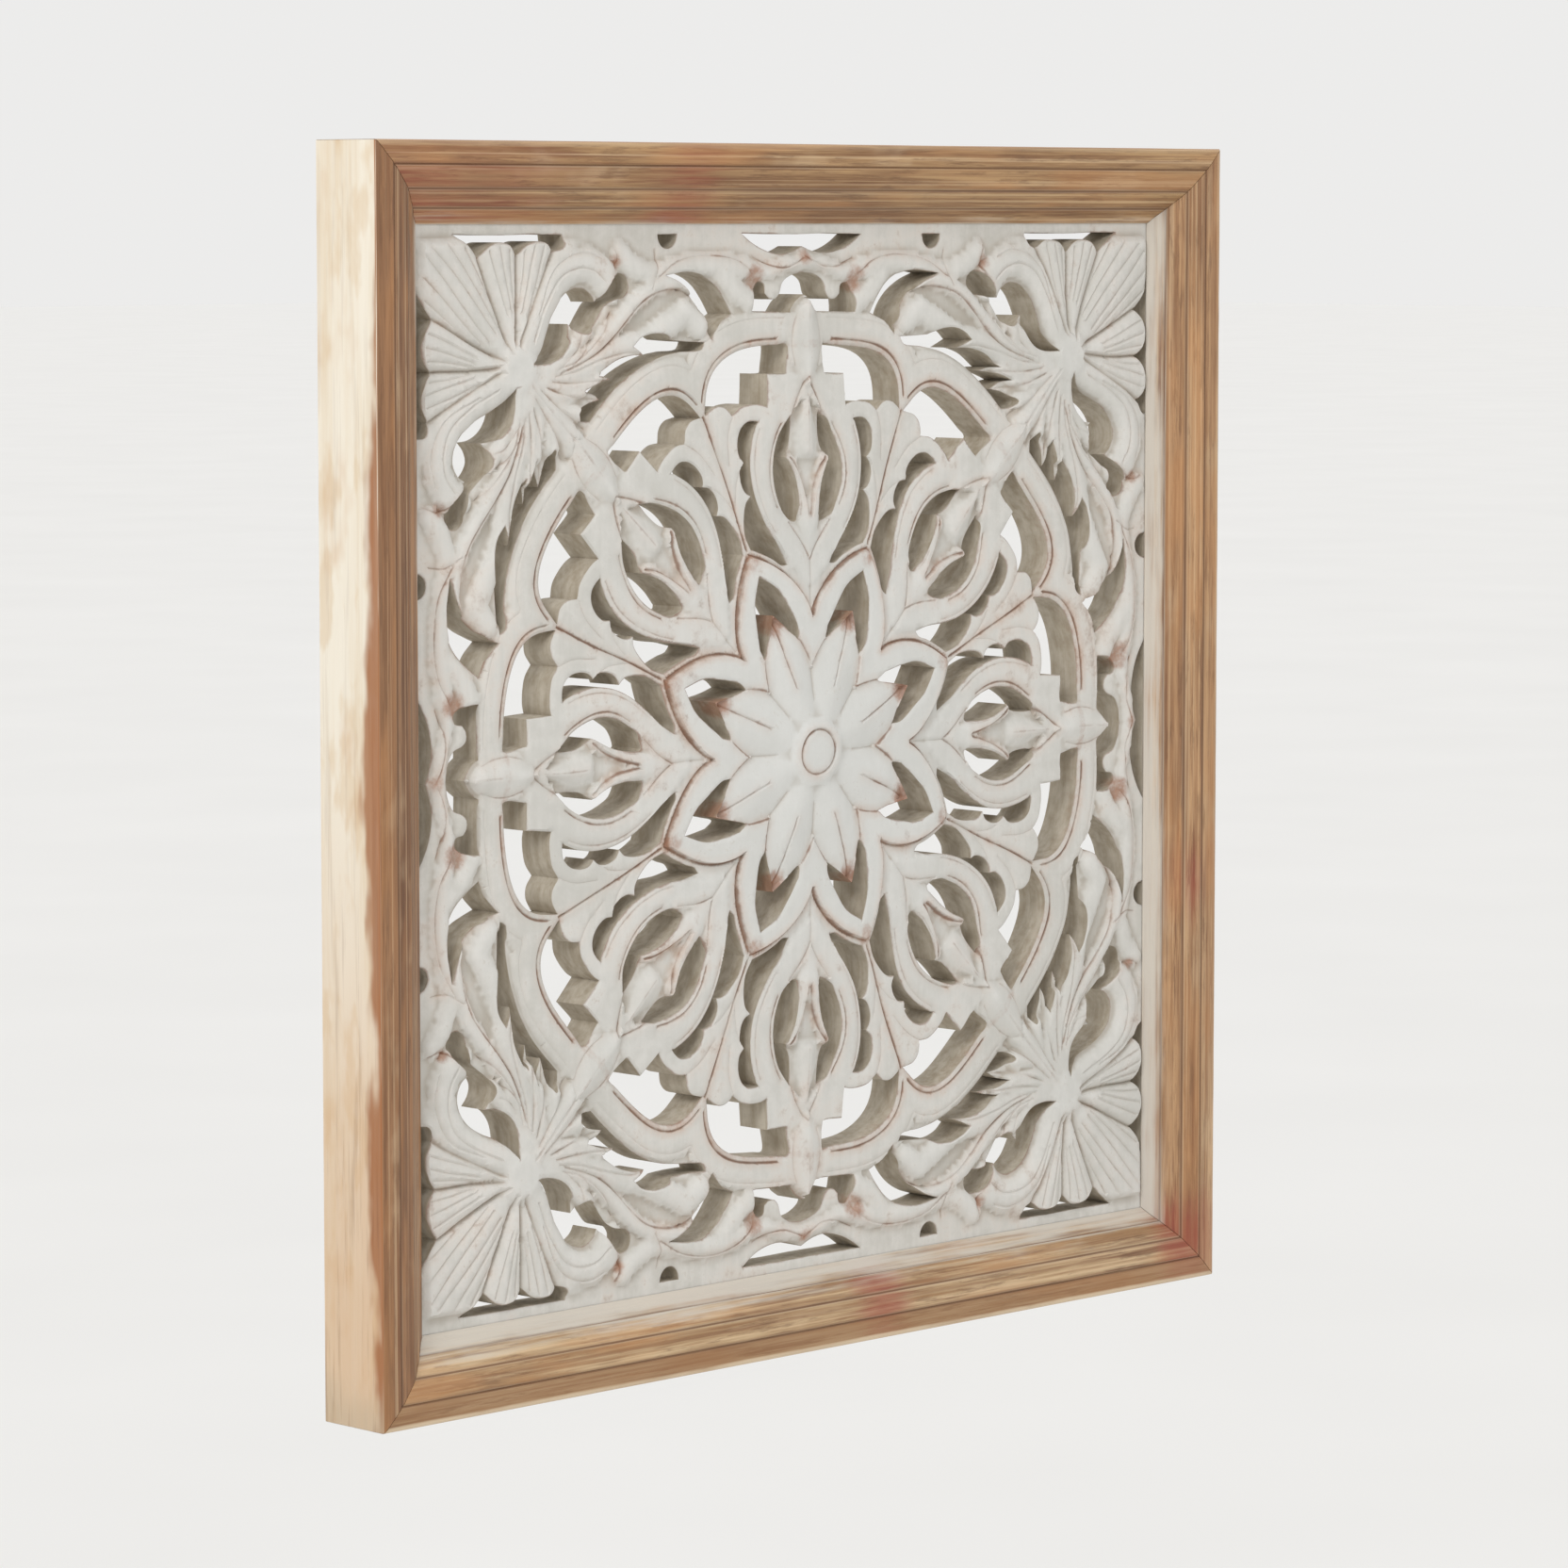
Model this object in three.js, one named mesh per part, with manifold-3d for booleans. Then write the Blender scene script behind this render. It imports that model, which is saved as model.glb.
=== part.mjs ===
// Framed cutwork wall panel: a carved and pierced board behind four mitred mouldings.
//
// Millimetres, +Z up. The panel hangs on a wall. The origin is on the back of the top moulding,
// half way along it, where the panel touches the wall, and the front faces -Y.
// Each piece is drawn lying on its back first, about the middle of the panel: x runs along the
// panel, y runs up it and z is the height in front of the wall. The pieces are stood up last.

import * as THREE from 'three';
import { mergeVertices } from 'three/addons/utils/BufferGeometryUtils.js';
import Module from 'manifold-3d';

const wasm = await Module();
wasm.setup();

// Frame: overall size, and the section of its moulding from the outer edge inwards
const frameWidth = 598;
const frameHeight = 610;
const frameDepth = 43;
const outerBandWidth = 11.4;
const middleBandWidth = 11.4;
const middleBandFall = 3.4;
const slopeBandWidth = 9.2;
const slopeBandFall = 7.3;
const coveWidth = 7.5;
const coveFall = 6.8;
const coveHollow = 0.7;
const grooveWidth = 1;
const grooveDepth = 1.1;
const edgeRound = 1.6;
const lipThickness = 0.8;

// Board: how the frame's rebate holds it, and its thickness where it isn't carved
const rebateWidth = 6;
const boardClearance = 0.4;
const jointGap = 0.3;
const boardThickness = 17.6;

// Heights of the carving above the flat border of the board
const bossRise = 13;
const bossRadius = 17;
const petalRootRise = 11.4;
const petalTipRise = 7.2;
const petalCrease = 2.2;
const starMiddleRise = 7.4;
const starValleyRise = 8;
const starTipRise = 6.4;
const budRootRise = 7.2;
const budTopRise = 2.4;
const spearRise = 4.6;
const ringRise = 1.6;
const palmetteRise = 1.4;
const shellRise = 2.6;

const mouldingWidth = outerBandWidth + middleBandWidth + slopeBandWidth + coveWidth;
const mouldingFall = middleBandFall + slopeBandFall + coveFall;
const boardFront = frameDepth - mouldingFall - lipThickness - jointGap;
const boardBack = boardFront - boardThickness;
const boardMiddle = (boardFront + boardBack) / 2;

// The carving is one round drawing, laid out from the middle of the board in its own units.
// It is scaled as a whole, so that it fills the opening of the frame.
const drawingWidth = 519;
const drawingHeight = 531;
const unit = Math.min(
  (frameWidth - 2 * mouldingWidth) / drawingWidth,
  (frameHeight - 2 * mouldingWidth) / drawingHeight,
);
const fold = 8;
const turn = (2 * Math.PI) / fold;
const halfTurn = turn / 2;

// Outlines

function at(x, y) {
  return new THREE.Vector2(x * unit, y * unit);
}

// A point at a distance from the middle, turned clockwise from straight up
function polar(radius, angle) {
  return at(radius * Math.sin(angle), radius * Math.cos(angle));
}

function turned(points, angle) {
  return points.map((p) => {
    const q = p.clone();
    q.x = p.x * Math.cos(angle) + p.y * Math.sin(angle);
    q.y = p.y * Math.cos(angle) - p.x * Math.sin(angle);
    return q;
  });
}

function mirrored(points) {
  return points.map((p) => {
    const q = p.clone();
    q.x = -p.x;
    return q;
  }).reverse();
}

function acrossDiagonal(points) {
  return points.map((p) => {
    const q = p.clone();
    q.x = p.y;
    q.y = p.x;
    return q;
  }).reverse();
}

function withoutDoubles(points) {
  return points.filter((p, i) => p.distanceTo(points[(i + 1) % points.length]) > 0.3);
}

// The left half of a shape is the mirror image of its right half
function bothHalves(right) {
  return withoutDoubles([...right, ...mirrored(right)]);
}

// Points of a curve, where the parameter runs from one value to another
function sampled(curve, from, to, steps) {
  return Array.from({ length: steps + 1 }, (_, i) => curve(from + ((to - from) * i) / steps));
}

// The places round the middle where a motif stands, as angles
function places(count, start = 0) {
  return Array.from({ length: count }, (_, k) => start + (k * 2 * Math.PI) / count);
}

function single(points, count, start = 0) {
  return places(count, start).map((angle) => turned(points, angle));
}

// A shape and its mirror image at each of the places
function paired(points, count, start = 0) {
  const clean = withoutDoubles(points);
  return [...single(clean, count, start), ...single(mirrored(clean), count, start)];
}

// Solids

function toSolid(geometry) {
  geometry.deleteAttribute('normal');
  geometry.deleteAttribute('uv');
  const merged = mergeVertices(geometry, 1e-4);
  return new wasm.Manifold(new wasm.Mesh({
    numProp: 3,
    vertProperties: new Float32Array(merged.attributes.position.array),
    triVerts: new Uint32Array(merged.index.array),
  }));
}

function toGeometry(solid) {
  const mesh = solid.getMesh();
  const geometry = new THREE.BufferGeometry();
  geometry.setAttribute('position', new THREE.BufferAttribute(mesh.vertProperties, 3));
  geometry.setIndex(new THREE.BufferAttribute(mesh.triVerts, 1));
  return geometry;
}

// Neighbours that share an edge get exactly the same numbers for it
function snap(value) {
  return Math.round(value * 1000) / 1000;
}

// An outline drawn up from one height to another. The top may be a function of the place.
function prism(points, bottom, top, holes = []) {
  const shape = new THREE.Shape(points);
  shape.holes = holes.map((hole) => new THREE.Path(hole));
  const geometry = new THREE.ExtrudeGeometry(shape, { depth: 1, bevelEnabled: false });
  const vertices = geometry.attributes.position;
  for (let i = 0; i < vertices.count; i += 1) {
    const x = vertices.getX(i);
    const y = vertices.getY(i);
    const height = typeof top === 'function' ? top(x, y) : top;
    vertices.setXYZ(i, snap(x), snap(y), snap(vertices.getZ(i) > 0.5 ? height : bottom));
  }
  return toSolid(geometry);
}

// A raised motif like a tent: flat facets from an apex down to a rim, each point with its rise
function tent(rim, apex) {
  const run = THREE.ShapeUtils.isClockWise(rim) ? [...rim].reverse() : rim;
  const count = run.length;
  const geometry = new THREE.CylinderGeometry(1, 1, 1, count, 1);
  const vertices = geometry.attributes.position;
  for (let i = 0; i < vertices.count; i += 1) {
    const round = Math.atan2(vertices.getX(i), vertices.getZ(i)) / (2 * Math.PI);
    const onAxis = Math.hypot(vertices.getX(i), vertices.getZ(i)) < 0.5;
    const p = onAxis ? apex : run[(Math.round(round * count) + count) % count];
    const height = vertices.getY(i) > 0 ? boardFront + p.z : boardMiddle;
    vertices.setXYZ(i, snap(p.x), snap(p.y), snap(height));
  }
  return toSolid(geometry);
}

// The same tent at each of its places. It is given by its right half, from the top downwards.
function tents(rightHalf, apex, count = fold, start = 0) {
  const rim = withoutDoubles([...rightHalf, ...mirrored(rightHalf)]);
  return places(count, start).map((angle) => tent(turned(rim, angle), turned([apex], angle)[0]));
}

function risen(point, rise) {
  return new THREE.Vector3(point.x, point.y, rise);
}

// Curves that the openings and the raised motifs share

function starEdge(angle, outwards = 0) {
  const share = (Math.abs(angle) / halfTurn) ** 0.8;
  return polar(70 + 39.5 * share + outwards, angle);
}

function budEdge(y, outwards = 0) {
  return at(40 * Math.sin((Math.PI / 2) * ((y - 82) / 64)) + outwards, y);
}

function eyeEdge(y) {
  return at(24.8 * Math.sin(Math.PI * ((y - 104) / 76.5)) ** 0.8, y);
}

// Half a lobe of the ring: flat at the middle, then round, down to the notch between two lobes
function lobeEdge(steps, outwards = 0) {
  const curve = (t) => at(
    (69 + outwards) * Math.sin(t) ** 0.62,
    171 + (34.5 + outwards) * Math.max(0, Math.cos(t)) ** 0.62,
  );
  let end = Math.PI / 2;
  while (curve(end).x > curve(end).y * Math.tan(halfTurn)) {
    end -= 0.001;
  }
  return sampled(curve, 0, end, steps);
}

// Openings sawn out of the board. Each is drawn once, at the top of the panel or to its right.

// Between two petals of the flower, inside a point of the star
function starOpening() {
  return bothHalves([
    polar(96, 0), polar(85.5, 0.24 * halfTurn), polar(65, 0.56 * halfTurn),
    polar(59, 0.56 * halfTurn), polar(64, 0.33 * halfTurn), polar(74, 0),
  ]);
}

// Between the rim of a bud and the small leafy stem inside it
function eyeOpening() {
  const rim = sampled(eyeEdge, 171, 116.5, 5);
  return [...rim, at(8, 117), at(8.2, 130), at(14.8, 148.5), at(10.6, 155), at(10.2, 169)];
}

// Beside a bud: along the lip of the star and the scalloped side of the palmette
function budSideOpening() {
  const lip = [starEdge(0.56 * halfTurn, 3.7), starEdge(0.94 * halfTurn, 3.7)];
  const scallops = [
    at(43, 113), at(43.6, 126), at(40.6, 130.5), at(46.3, 137.5), at(44.2, 147),
    at(47.6, 155), at(41.5, 168), at(34.5, 168),
  ];
  return [at(15.5, 95), ...lip, ...scallops, ...sampled(budEdge, 166, 104, 4)];
}

// Under a lobe of the ring: beside the spear, over the horn of the bud and the palmette
function lobeOpening() {
  const horn = [at(28, 175), at(27.5, 191), at(13.8, 191), at(13, 205.4)];
  const palmette = [at(57.5, 174.5), at(51.5, 170.5), at(40, 176)];
  return [...horn, ...lobeEdge(5).slice(1), ...palmette];
}

// Between the ring and the fingers of the leaf that lies along it
function ringGapOpening() {
  return [
    at(70, 208.5), at(94, 209.5), at(108, 212), at(120, 206.5), at(112, 202), at(130, 199.5),
    at(142, 191.5), at(131, 190), at(152, 184.5), at(139, 180), at(157, 173.5), at(147, 169.5),
    at(138, 177.5), at(122, 190), at(104, 199), at(73, 204),
  ];
}

// Between the middle of a side and the curled end of the leaf
function tongueOpening() {
  return [
    at(49.5, 220), at(59, 234), at(70, 240.3), at(83, 242), at(96, 240), at(84, 235),
    at(72, 226), at(64.5, 210), at(57, 216.5),
  ];
}

// Round the tip of a spear, under the small crown in the middle of a side
function crownOpening() {
  return bothHalves([
    at(0, 240.5), at(9.5, 239), at(15.5, 233), at(20.5, 228), at(27, 231), at(32, 234.5),
    at(36, 221.5), at(9, 221.5), at(0, 230.5),
  ]);
}

// Round the hooked leaf of a corner
function hookOpening() {
  return [
    at(120.5, 236), at(127, 241.5), at(136, 235), at(143.5, 229), at(149, 233.5), at(157, 234.5),
    at(164, 230.5), at(174, 213), at(180.5, 203), at(186, 198.5), at(170, 199.8),
    at(163.5, 206.5), at(160.5, 217), at(151, 213), at(144, 217), at(135, 228), at(126.5, 229.5),
  ];
}

// Along the border, past the rounded ends of the shell
function shellEndOpening() {
  return [
    at(165, 260.5), at(164.5, 257), at(171, 252.5), at(179, 256.5), at(188, 255.8),
    at(195, 250.5), at(203, 256), at(212, 255.8), at(219.5, 250), at(234, 260.5),
  ];
}

function lensOpening() {
  return bothHalves([at(0, 254.5), at(16, 250.4), at(30, 253.3), at(42.5, 260.5)]);
}

function borderHole() {
  const curve = (angle) => at(94 - 6.5 * Math.cos(angle), 260.5 - 7 * Math.sin(angle));
  return sampled(curve, 0, Math.PI, 4);
}

function openings() {
  return [
    ...single(starOpening(), fold, halfTurn),
    ...paired(eyeOpening(), fold),
    ...paired(budSideOpening(), fold),
    ...paired(lobeOpening(), fold),
    ...paired(ringGapOpening(), 4),
    ...paired(tongueOpening(), 4),
    ...single(crownOpening(), 4),
    ...paired(hookOpening(), 4),
    ...paired(shellEndOpening(), 4),
    ...single(lensOpening(), 4),
    ...paired(borderHole(), 4),
  ];
}

// Motifs raised on the board

function boss() {
  const foot = boardFront + petalRootRise - 1.5;
  const top = boardFront + bossRise;
  const radius = bossRadius * unit;
  const section = [
    [0, boardMiddle], [radius, boardMiddle], [radius, foot], [0.75 * radius, top - 0.8],
    [0.45 * radius, top], [0, top],
  ];
  const geometry = new THREE.LatheGeometry(section.map(([r, z]) => new THREE.Vector2(r, z)), 16);
  geometry.rotateX(Math.PI / 2);
  return toSolid(geometry);
}

// Each petal is two flat cheeks that meet in a ridge and fall to the valleys beside it
function flower() {
  const valleyRise = petalRootRise - petalCrease;
  const sideRise = (valleyRise + petalTipRise) / 2;
  const petal = [
    risen(polar(44, -halfTurn), valleyRise), risen(polar(60, -0.6 * halfTurn), sideRise),
    risen(polar(73, 0), petalTipRise), risen(polar(60, 0.6 * halfTurn), sideRise),
  ];
  const rim = places(fold, halfTurn).flatMap((angle) => turned(petal, angle));
  return tent(rim, risen(at(0, 0), petalRootRise));
}

function star() {
  const edge = (share) => risen(
    starEdge(Math.abs(share) * halfTurn, 0.5),
    starValleyRise + (starTipRise - starValleyRise) * Math.abs(share),
  );
  const right = sampled(edge, 0, 1, 3);
  const point = [...right, ...turned(mirrored(right), turn)];
  const rim = withoutDoubles(places(fold).flatMap((angle) => turned(point, angle)));
  return tent(rim, risen(at(0, 0), starMiddleRise));
}

// The top of a bud is a plane that falls from its root to its horns
function buds() {
  const rim = sampled((y) => budEdge(y, 1), 92, 170, 5);
  const outline = bothHalves([at(0, 192), at(28.5, 192), at(28.5, 178), ...rim.reverse(), at(0, 68)]);
  return places(fold).map((angle) => {
    const top = (x, y) => {
      const reach = (x * Math.sin(angle) + y * Math.cos(angle)) / unit;
      const share = (reach - 68) / (192 - 68);
      return boardFront + budRootRise + (budTopRise - budRootRise) * share;
    };
    return prism(turned(outline, angle), boardMiddle, top);
  });
}

function spears() {
  const low = ringRise + 0.6;
  const right = [
    risen(at(0, 229), spearRise), risen(at(8.5, 221.5), low), risen(at(11.5, 213), low),
    risen(at(12.5, 200), low), risen(at(0, 184), low),
  ];
  return tents(right, risen(at(0, 206), spearRise));
}

function palmettes() {
  const low = 0.5;
  const right = [
    risen(at(0, 185), palmetteRise), risen(at(15, 180), low), risen(at(22, 171), low),
    risen(at(14, 150), low), risen(at(6, 121), low), risen(at(0, 108), low),
  ];
  return tents(right, risen(at(0, 152), palmetteRise), fold, halfTurn);
}

function ring() {
  const loop = (steps, outwards) => {
    const right = lobeEdge(steps, outwards);
    const lobe = [...mirrored(right), ...right.slice(1)];
    return withoutDoubles(places(fold).flatMap((angle) => turned(lobe, angle)));
  };
  return prism(loop(5, 15.5), boardMiddle, boardFront + ringRise, [loop(3, -2).reverse()]);
}

// The shell in each corner: ridges spread from its hub, to the border and to the ring
function shells() {
  const low = 0.5;
  const upper = [
    risen(at(172, 253), low), risen(at(183, 257), shellRise), risen(at(195, 251), low),
    risen(at(208, 257), shellRise), risen(at(219.5, 251), low),
  ];
  const inner = [
    risen(at(158, 180), shellRise), risen(at(166, 170), low), risen(at(156, 156), shellRise),
  ];
  const half = [...inner.reverse(), ...upper];
  const rim = [...half, risen(at(257, 257), shellRise), ...acrossDiagonal(half.slice(1))];
  const hub = risen(at(196, 196), shellRise + 0.6);
  return places(4).map((angle) => tent(turned(rim, angle), turned([hub], angle)[0]));
}

// Pieces

function carvedPanel() {
  const inset = mouldingWidth - rebateWidth + boardClearance;
  const right = frameWidth / 2 - inset;
  const top = frameHeight / 2 - inset;
  const corners = [[-right, -top], [right, -top], [right, top], [-right, top]];
  const board = prism(corners.map(([x, y]) => new THREE.Vector2(x, y)), boardBack, boardFront);
  const motifs = [
    boss(), flower(), star(), ...buds(), ...palmettes(), ring(), ...spears(), ...shells(),
  ];
  const carved = motifs.reduce((whole, motif) => whole.add(motif), board);
  const holes = openings().map((points) => prism(points, boardBack - 5, boardFront + bossRise + 5));
  return holes.reduce((whole, hole) => whole.subtract(hole), carved);
}

// The section of the moulding as (distance from the outer edge, height in front of the wall):
// four bands with a small groove between each two, the last two bands hollow
function mouldingSection() {
  const bands = [
    { width: outerBandWidth, fall: 0, hollow: 0 },
    { width: middleBandWidth, fall: middleBandFall, hollow: 0 },
    { width: slopeBandWidth, fall: slopeBandFall, hollow: coveHollow / 2 },
    { width: coveWidth, fall: coveFall, hollow: coveHollow },
  ];
  const rounding = sampled((angle) => new THREE.Vector2(
    edgeRound * (1 - Math.cos(angle)),
    frameDepth - edgeRound * (1 - Math.sin(angle)),
  ), 0, Math.PI / 2, 3);
  const section = [new THREE.Vector2(0, 0), ...rounding];
  const end = new THREE.Vector2(0, frameDepth);
  bands.forEach(({ width, fall, hollow }, i) => {
    const slope = fall / width;
    const lip = grooveWidth / 2;
    if (i > 0) {
      section.push(new THREE.Vector2(end.x, end.y - grooveDepth));
      section.push(new THREE.Vector2(end.x + lip, end.y - slope * lip));
    }
    if (hollow > 0) {
      section.push(new THREE.Vector2(end.x + width / 2, end.y - fall / 2 - hollow));
    }
    end.x += width;
    end.y -= fall;
    if (i < bands.length - 1) {
      section.push(new THREE.Vector2(end.x - lip, end.y + slope * lip));
    }
  });
  const shoulder = end.x - rebateWidth;
  const underside = end.y - lipThickness;
  const rebate = [[end.x, end.y], [end.x, underside], [shoulder, underside], [shoulder, 0]];
  return [...section, ...rebate.map(([offset, height]) => new THREE.Vector2(offset, height))];
}

// One side of the frame, drawn as the top one and turned to its place, with mitred ends
function moulding(length, span, angle) {
  const geometry = new THREE.ExtrudeGeometry(new THREE.Shape(mouldingSection()), {
    depth: 1,
    bevelEnabled: false,
  });
  const trim = jointGap * Math.SQRT1_2;
  const vertices = geometry.attributes.position;
  for (let i = 0; i < vertices.count; i += 1) {
    const offset = vertices.getX(i);
    const side = vertices.getZ(i) > 0.5 ? -1 : 1;
    vertices.setXYZ(i, side * (length / 2 - offset - trim), span / 2 - offset, vertices.getY(i));
  }
  geometry.rotateZ(angle);
  return toSolid(geometry);
}

const woodBrown = { color: 0xa47f59, roughness: 0.62, metalness: 0 };
const whitewash = { color: 0xcdcbc2, roughness: 0.85, metalness: 0 };
const mountHeight = frameHeight / 2 - (mouldingWidth - rebateWidth) / 2;

function piece(name, solid, look) {
  const geometry = toGeometry(solid);
  geometry.rotateX(Math.PI / 2);
  geometry.translate(0, 0, -mountHeight);
  const mesh = new THREE.Mesh(geometry, new THREE.MeshStandardMaterial(look));
  mesh.name = name;
  return mesh;
}

const panel = new THREE.Group();
panel.name = 'cutwork_wall_panel';
panel.add(
  piece('frame_top', moulding(frameWidth, frameHeight, 0), woodBrown),
  piece('frame_bottom', moulding(frameWidth, frameHeight, Math.PI), woodBrown),
  piece('frame_left', moulding(frameHeight, frameWidth, Math.PI / 2), woodBrown),
  piece('frame_right', moulding(frameHeight, frameWidth, -Math.PI / 2), woodBrown),
  piece('carved_panel', carvedPanel(), whitewash),
);

export default panel;
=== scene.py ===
# %% [markdown]
# # A carved cutwork wall panel
# The real object is a wooden board, sawn through in over a hundred places and carved by hand,
# in a frame of four mitred mouldings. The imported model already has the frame, the board and
# its openings at their true size. What is missing is the finish: soft carved leaves, engraved
# lines, whitewash rubbed back to the wood. The lesson builds these on the sizes of the model.

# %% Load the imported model
import math
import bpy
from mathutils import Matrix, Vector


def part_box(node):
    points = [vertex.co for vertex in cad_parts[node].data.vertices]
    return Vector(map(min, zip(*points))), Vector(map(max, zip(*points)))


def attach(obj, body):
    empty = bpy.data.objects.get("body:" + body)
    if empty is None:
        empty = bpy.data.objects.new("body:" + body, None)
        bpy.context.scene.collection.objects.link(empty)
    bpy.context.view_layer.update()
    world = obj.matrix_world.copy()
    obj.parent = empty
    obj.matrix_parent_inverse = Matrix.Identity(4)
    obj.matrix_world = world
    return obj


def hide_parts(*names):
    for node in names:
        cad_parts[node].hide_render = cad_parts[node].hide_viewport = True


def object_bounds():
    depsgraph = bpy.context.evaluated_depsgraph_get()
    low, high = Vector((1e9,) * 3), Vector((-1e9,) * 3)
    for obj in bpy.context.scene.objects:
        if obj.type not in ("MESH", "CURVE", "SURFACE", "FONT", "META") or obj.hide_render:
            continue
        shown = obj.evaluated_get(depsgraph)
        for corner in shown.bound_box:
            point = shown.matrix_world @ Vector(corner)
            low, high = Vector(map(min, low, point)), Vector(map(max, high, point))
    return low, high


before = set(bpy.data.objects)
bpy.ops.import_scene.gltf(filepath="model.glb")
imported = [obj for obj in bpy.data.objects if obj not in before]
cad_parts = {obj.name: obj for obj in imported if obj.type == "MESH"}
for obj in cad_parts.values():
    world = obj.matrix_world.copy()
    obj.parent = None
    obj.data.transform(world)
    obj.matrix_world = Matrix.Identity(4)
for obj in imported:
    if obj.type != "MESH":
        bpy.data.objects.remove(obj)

from types import SimpleNamespace

import bpy
import numpy as np
from mathutils import Vector
from mathutils.geometry import delaunay_2d_cdt

cad_bounds = [list(corner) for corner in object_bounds()]
print("pieces of the model:", sorted(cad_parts))

# %% [markdown]
# ## Sizes
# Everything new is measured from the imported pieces, so nothing has to be fitted afterwards.
# The board's carving is one drawing about the middle of the panel. Its unit is scaled so that
# the drawing fills the opening of the frame. It is one millimetre at this panel's size.

# %% Measure the panel
MM = 0.001
DRAWN_WIDTH, DRAWN_HEIGHT = 519, 531
BOARD_THICKNESS = 17.6 * MM
low, high = (Vector(corner) for corner in cad_bounds)
top_low, top_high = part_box("frame_top")
board_low, board_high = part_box("carved_panel")
panel_width = high.x - low.x
panel_height = high.z - low.z
moulding_width = top_high.z - top_low.z
middle_z = (low.z + high.z) / 2
opening_width = panel_width - 2 * moulding_width
opening_height = panel_height - 2 * moulding_width
unit = min(opening_width / DRAWN_WIDTH, opening_height / DRAWN_HEIGHT)
board_back = board_high.y
board_front = board_back - BOARD_THICKNESS
print(f"panel {panel_width:.3f} x {panel_height:.3f} m, drawing unit {unit * 1000:.3f} mm")

# %% [markdown]
# ## Lines of the drawing
# A carver draws one part of the pattern and repeats it round the middle. The same is done
# here: each line is given by a few points at the top of the panel, smoothed, and then turned
# and mirrored to its other places. Curve objects drawn by hand would do too, but points in a
# script can be turned and measured. They are (across, outwards) from the middle.

# %% Helpers for lines
FOLD = 8
TURN = 2 * math.pi / FOLD
HALF = TURN / 2


def between(u, v, start, end, t):
    """u at the start, v at the end, and in proportion between them."""
    return ((end - t) * u + (t - start) * v) / (end - start)


def smooth(points, step=2.0):
    """A smooth line through the points, with a vertex about every step."""
    p = np.array(points, float)
    if len(p) == 2:
        count = max(1, math.ceil(np.linalg.norm(p[1] - p[0]) / step))
        return p[0] + np.linspace(0, 1, count + 1)[:, None] * (p[1] - p[0])
    p = np.vstack([2 * p[0] - p[1], p, 2 * p[-1] - p[-2]])
    line = []
    for a, b, c, d in zip(p, p[1:], p[2:], p[3:]):
        roots = [max(1e-6, np.linalg.norm(q - o)) ** 0.5 for o, q in ((a, b), (b, c), (c, d))]
        k = np.cumsum([0] + roots)
        count = max(1, math.ceil(np.linalg.norm(c - b) / step))
        t = np.linspace(k[1], k[2], count, endpoint=False)[:, None]
        ab = between(a, b, k[0], k[1], t)
        bc = between(b, c, k[1], k[2], t)
        cd = between(c, d, k[2], k[3], t)
        abc = between(ab, bc, k[0], k[2], t)
        bcd = between(bc, cd, k[1], k[3], t)
        line.append(between(abc, bcd, k[1], k[2], t))
    return np.vstack(line + [p[-2:-1]])


def outline(*runs, step=2.0):
    """A closed outline: smooth runs that meet in corners."""
    parts = []
    for i, run in enumerate(runs):
        following = runs[(i + 1) % len(runs)]
        joined = list(run) + ([following[0]] if tuple(run[-1]) != tuple(following[0]) else [])
        parts.append(smooth(joined, step)[:-1])
    return np.vstack(parts)


def polar(radius, share):
    """A point at a radius, at a share of half a turn of the eightfold pattern."""
    return (radius * math.sin(share * HALF), radius * math.cos(share * HALF))


def turned(points, angle):
    """The points turned clockwise about the middle."""
    x, y = np.asarray(points, float).T
    cos, sin = math.cos(angle), math.sin(angle)
    return np.column_stack([x * cos + y * sin, y * cos - x * sin])


def mirrored(points):
    """The points mirrored left to right, in the other order."""
    return (np.asarray(points, float) * (-1, 1))[::-1]


def across_diagonal(points):
    """The points mirrored in the diagonal of the corner."""
    return np.asarray(points, float)[::-1, ::-1]


def around(points, count=FOLD, start=0.0, both=True):
    """The line at each of its places round the middle, with its mirror image."""
    angles = start + np.arange(count) * 2 * math.pi / count
    sides = [points, mirrored(points)] if both else [points]
    return [turned(side, angle) for angle in angles for side in sides]


print(f"the pattern repeats every {math.degrees(TURN):.0f} degrees")

# %% Curves that several parts share
PETAL_SHARES = (0, 0.435, 0.69, 0.88, 1)
PETAL_RADII = (44, 58.5, 64, 70, 74)
STAR_NOTCH, STAR_REACH = 70, 39.5
BUD_HALF, BUD_FOOT, BUD_RISE = 40, 82, 64
EYE_HALF, EYE_FOOT, EYE_LENGTH = 24.8, 104, 76.5
LOBE_HALF, LOBE_FOOT, LOBE_RISE, LOBE_BEND = 69, 171, 34.5, 0.62
RING_WIDTH = 16


def star_edge(share, outwards=0.0):
    """A point on the edge of the star, from its notch to its tip."""
    return polar(STAR_NOTCH + STAR_REACH * abs(share) ** 0.8 + outwards, share)


def bud_half(y):
    """Half the width of a bud, from its foot to its widest place."""
    return BUD_HALF * math.sin(math.pi / 2 * (y - BUD_FOOT) / BUD_RISE)


def eye_half(y):
    """Half the width of the almond cut into a bud."""
    return EYE_HALF * math.sin(math.pi * (y - EYE_FOOT) / EYE_LENGTH) ** 0.8


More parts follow.
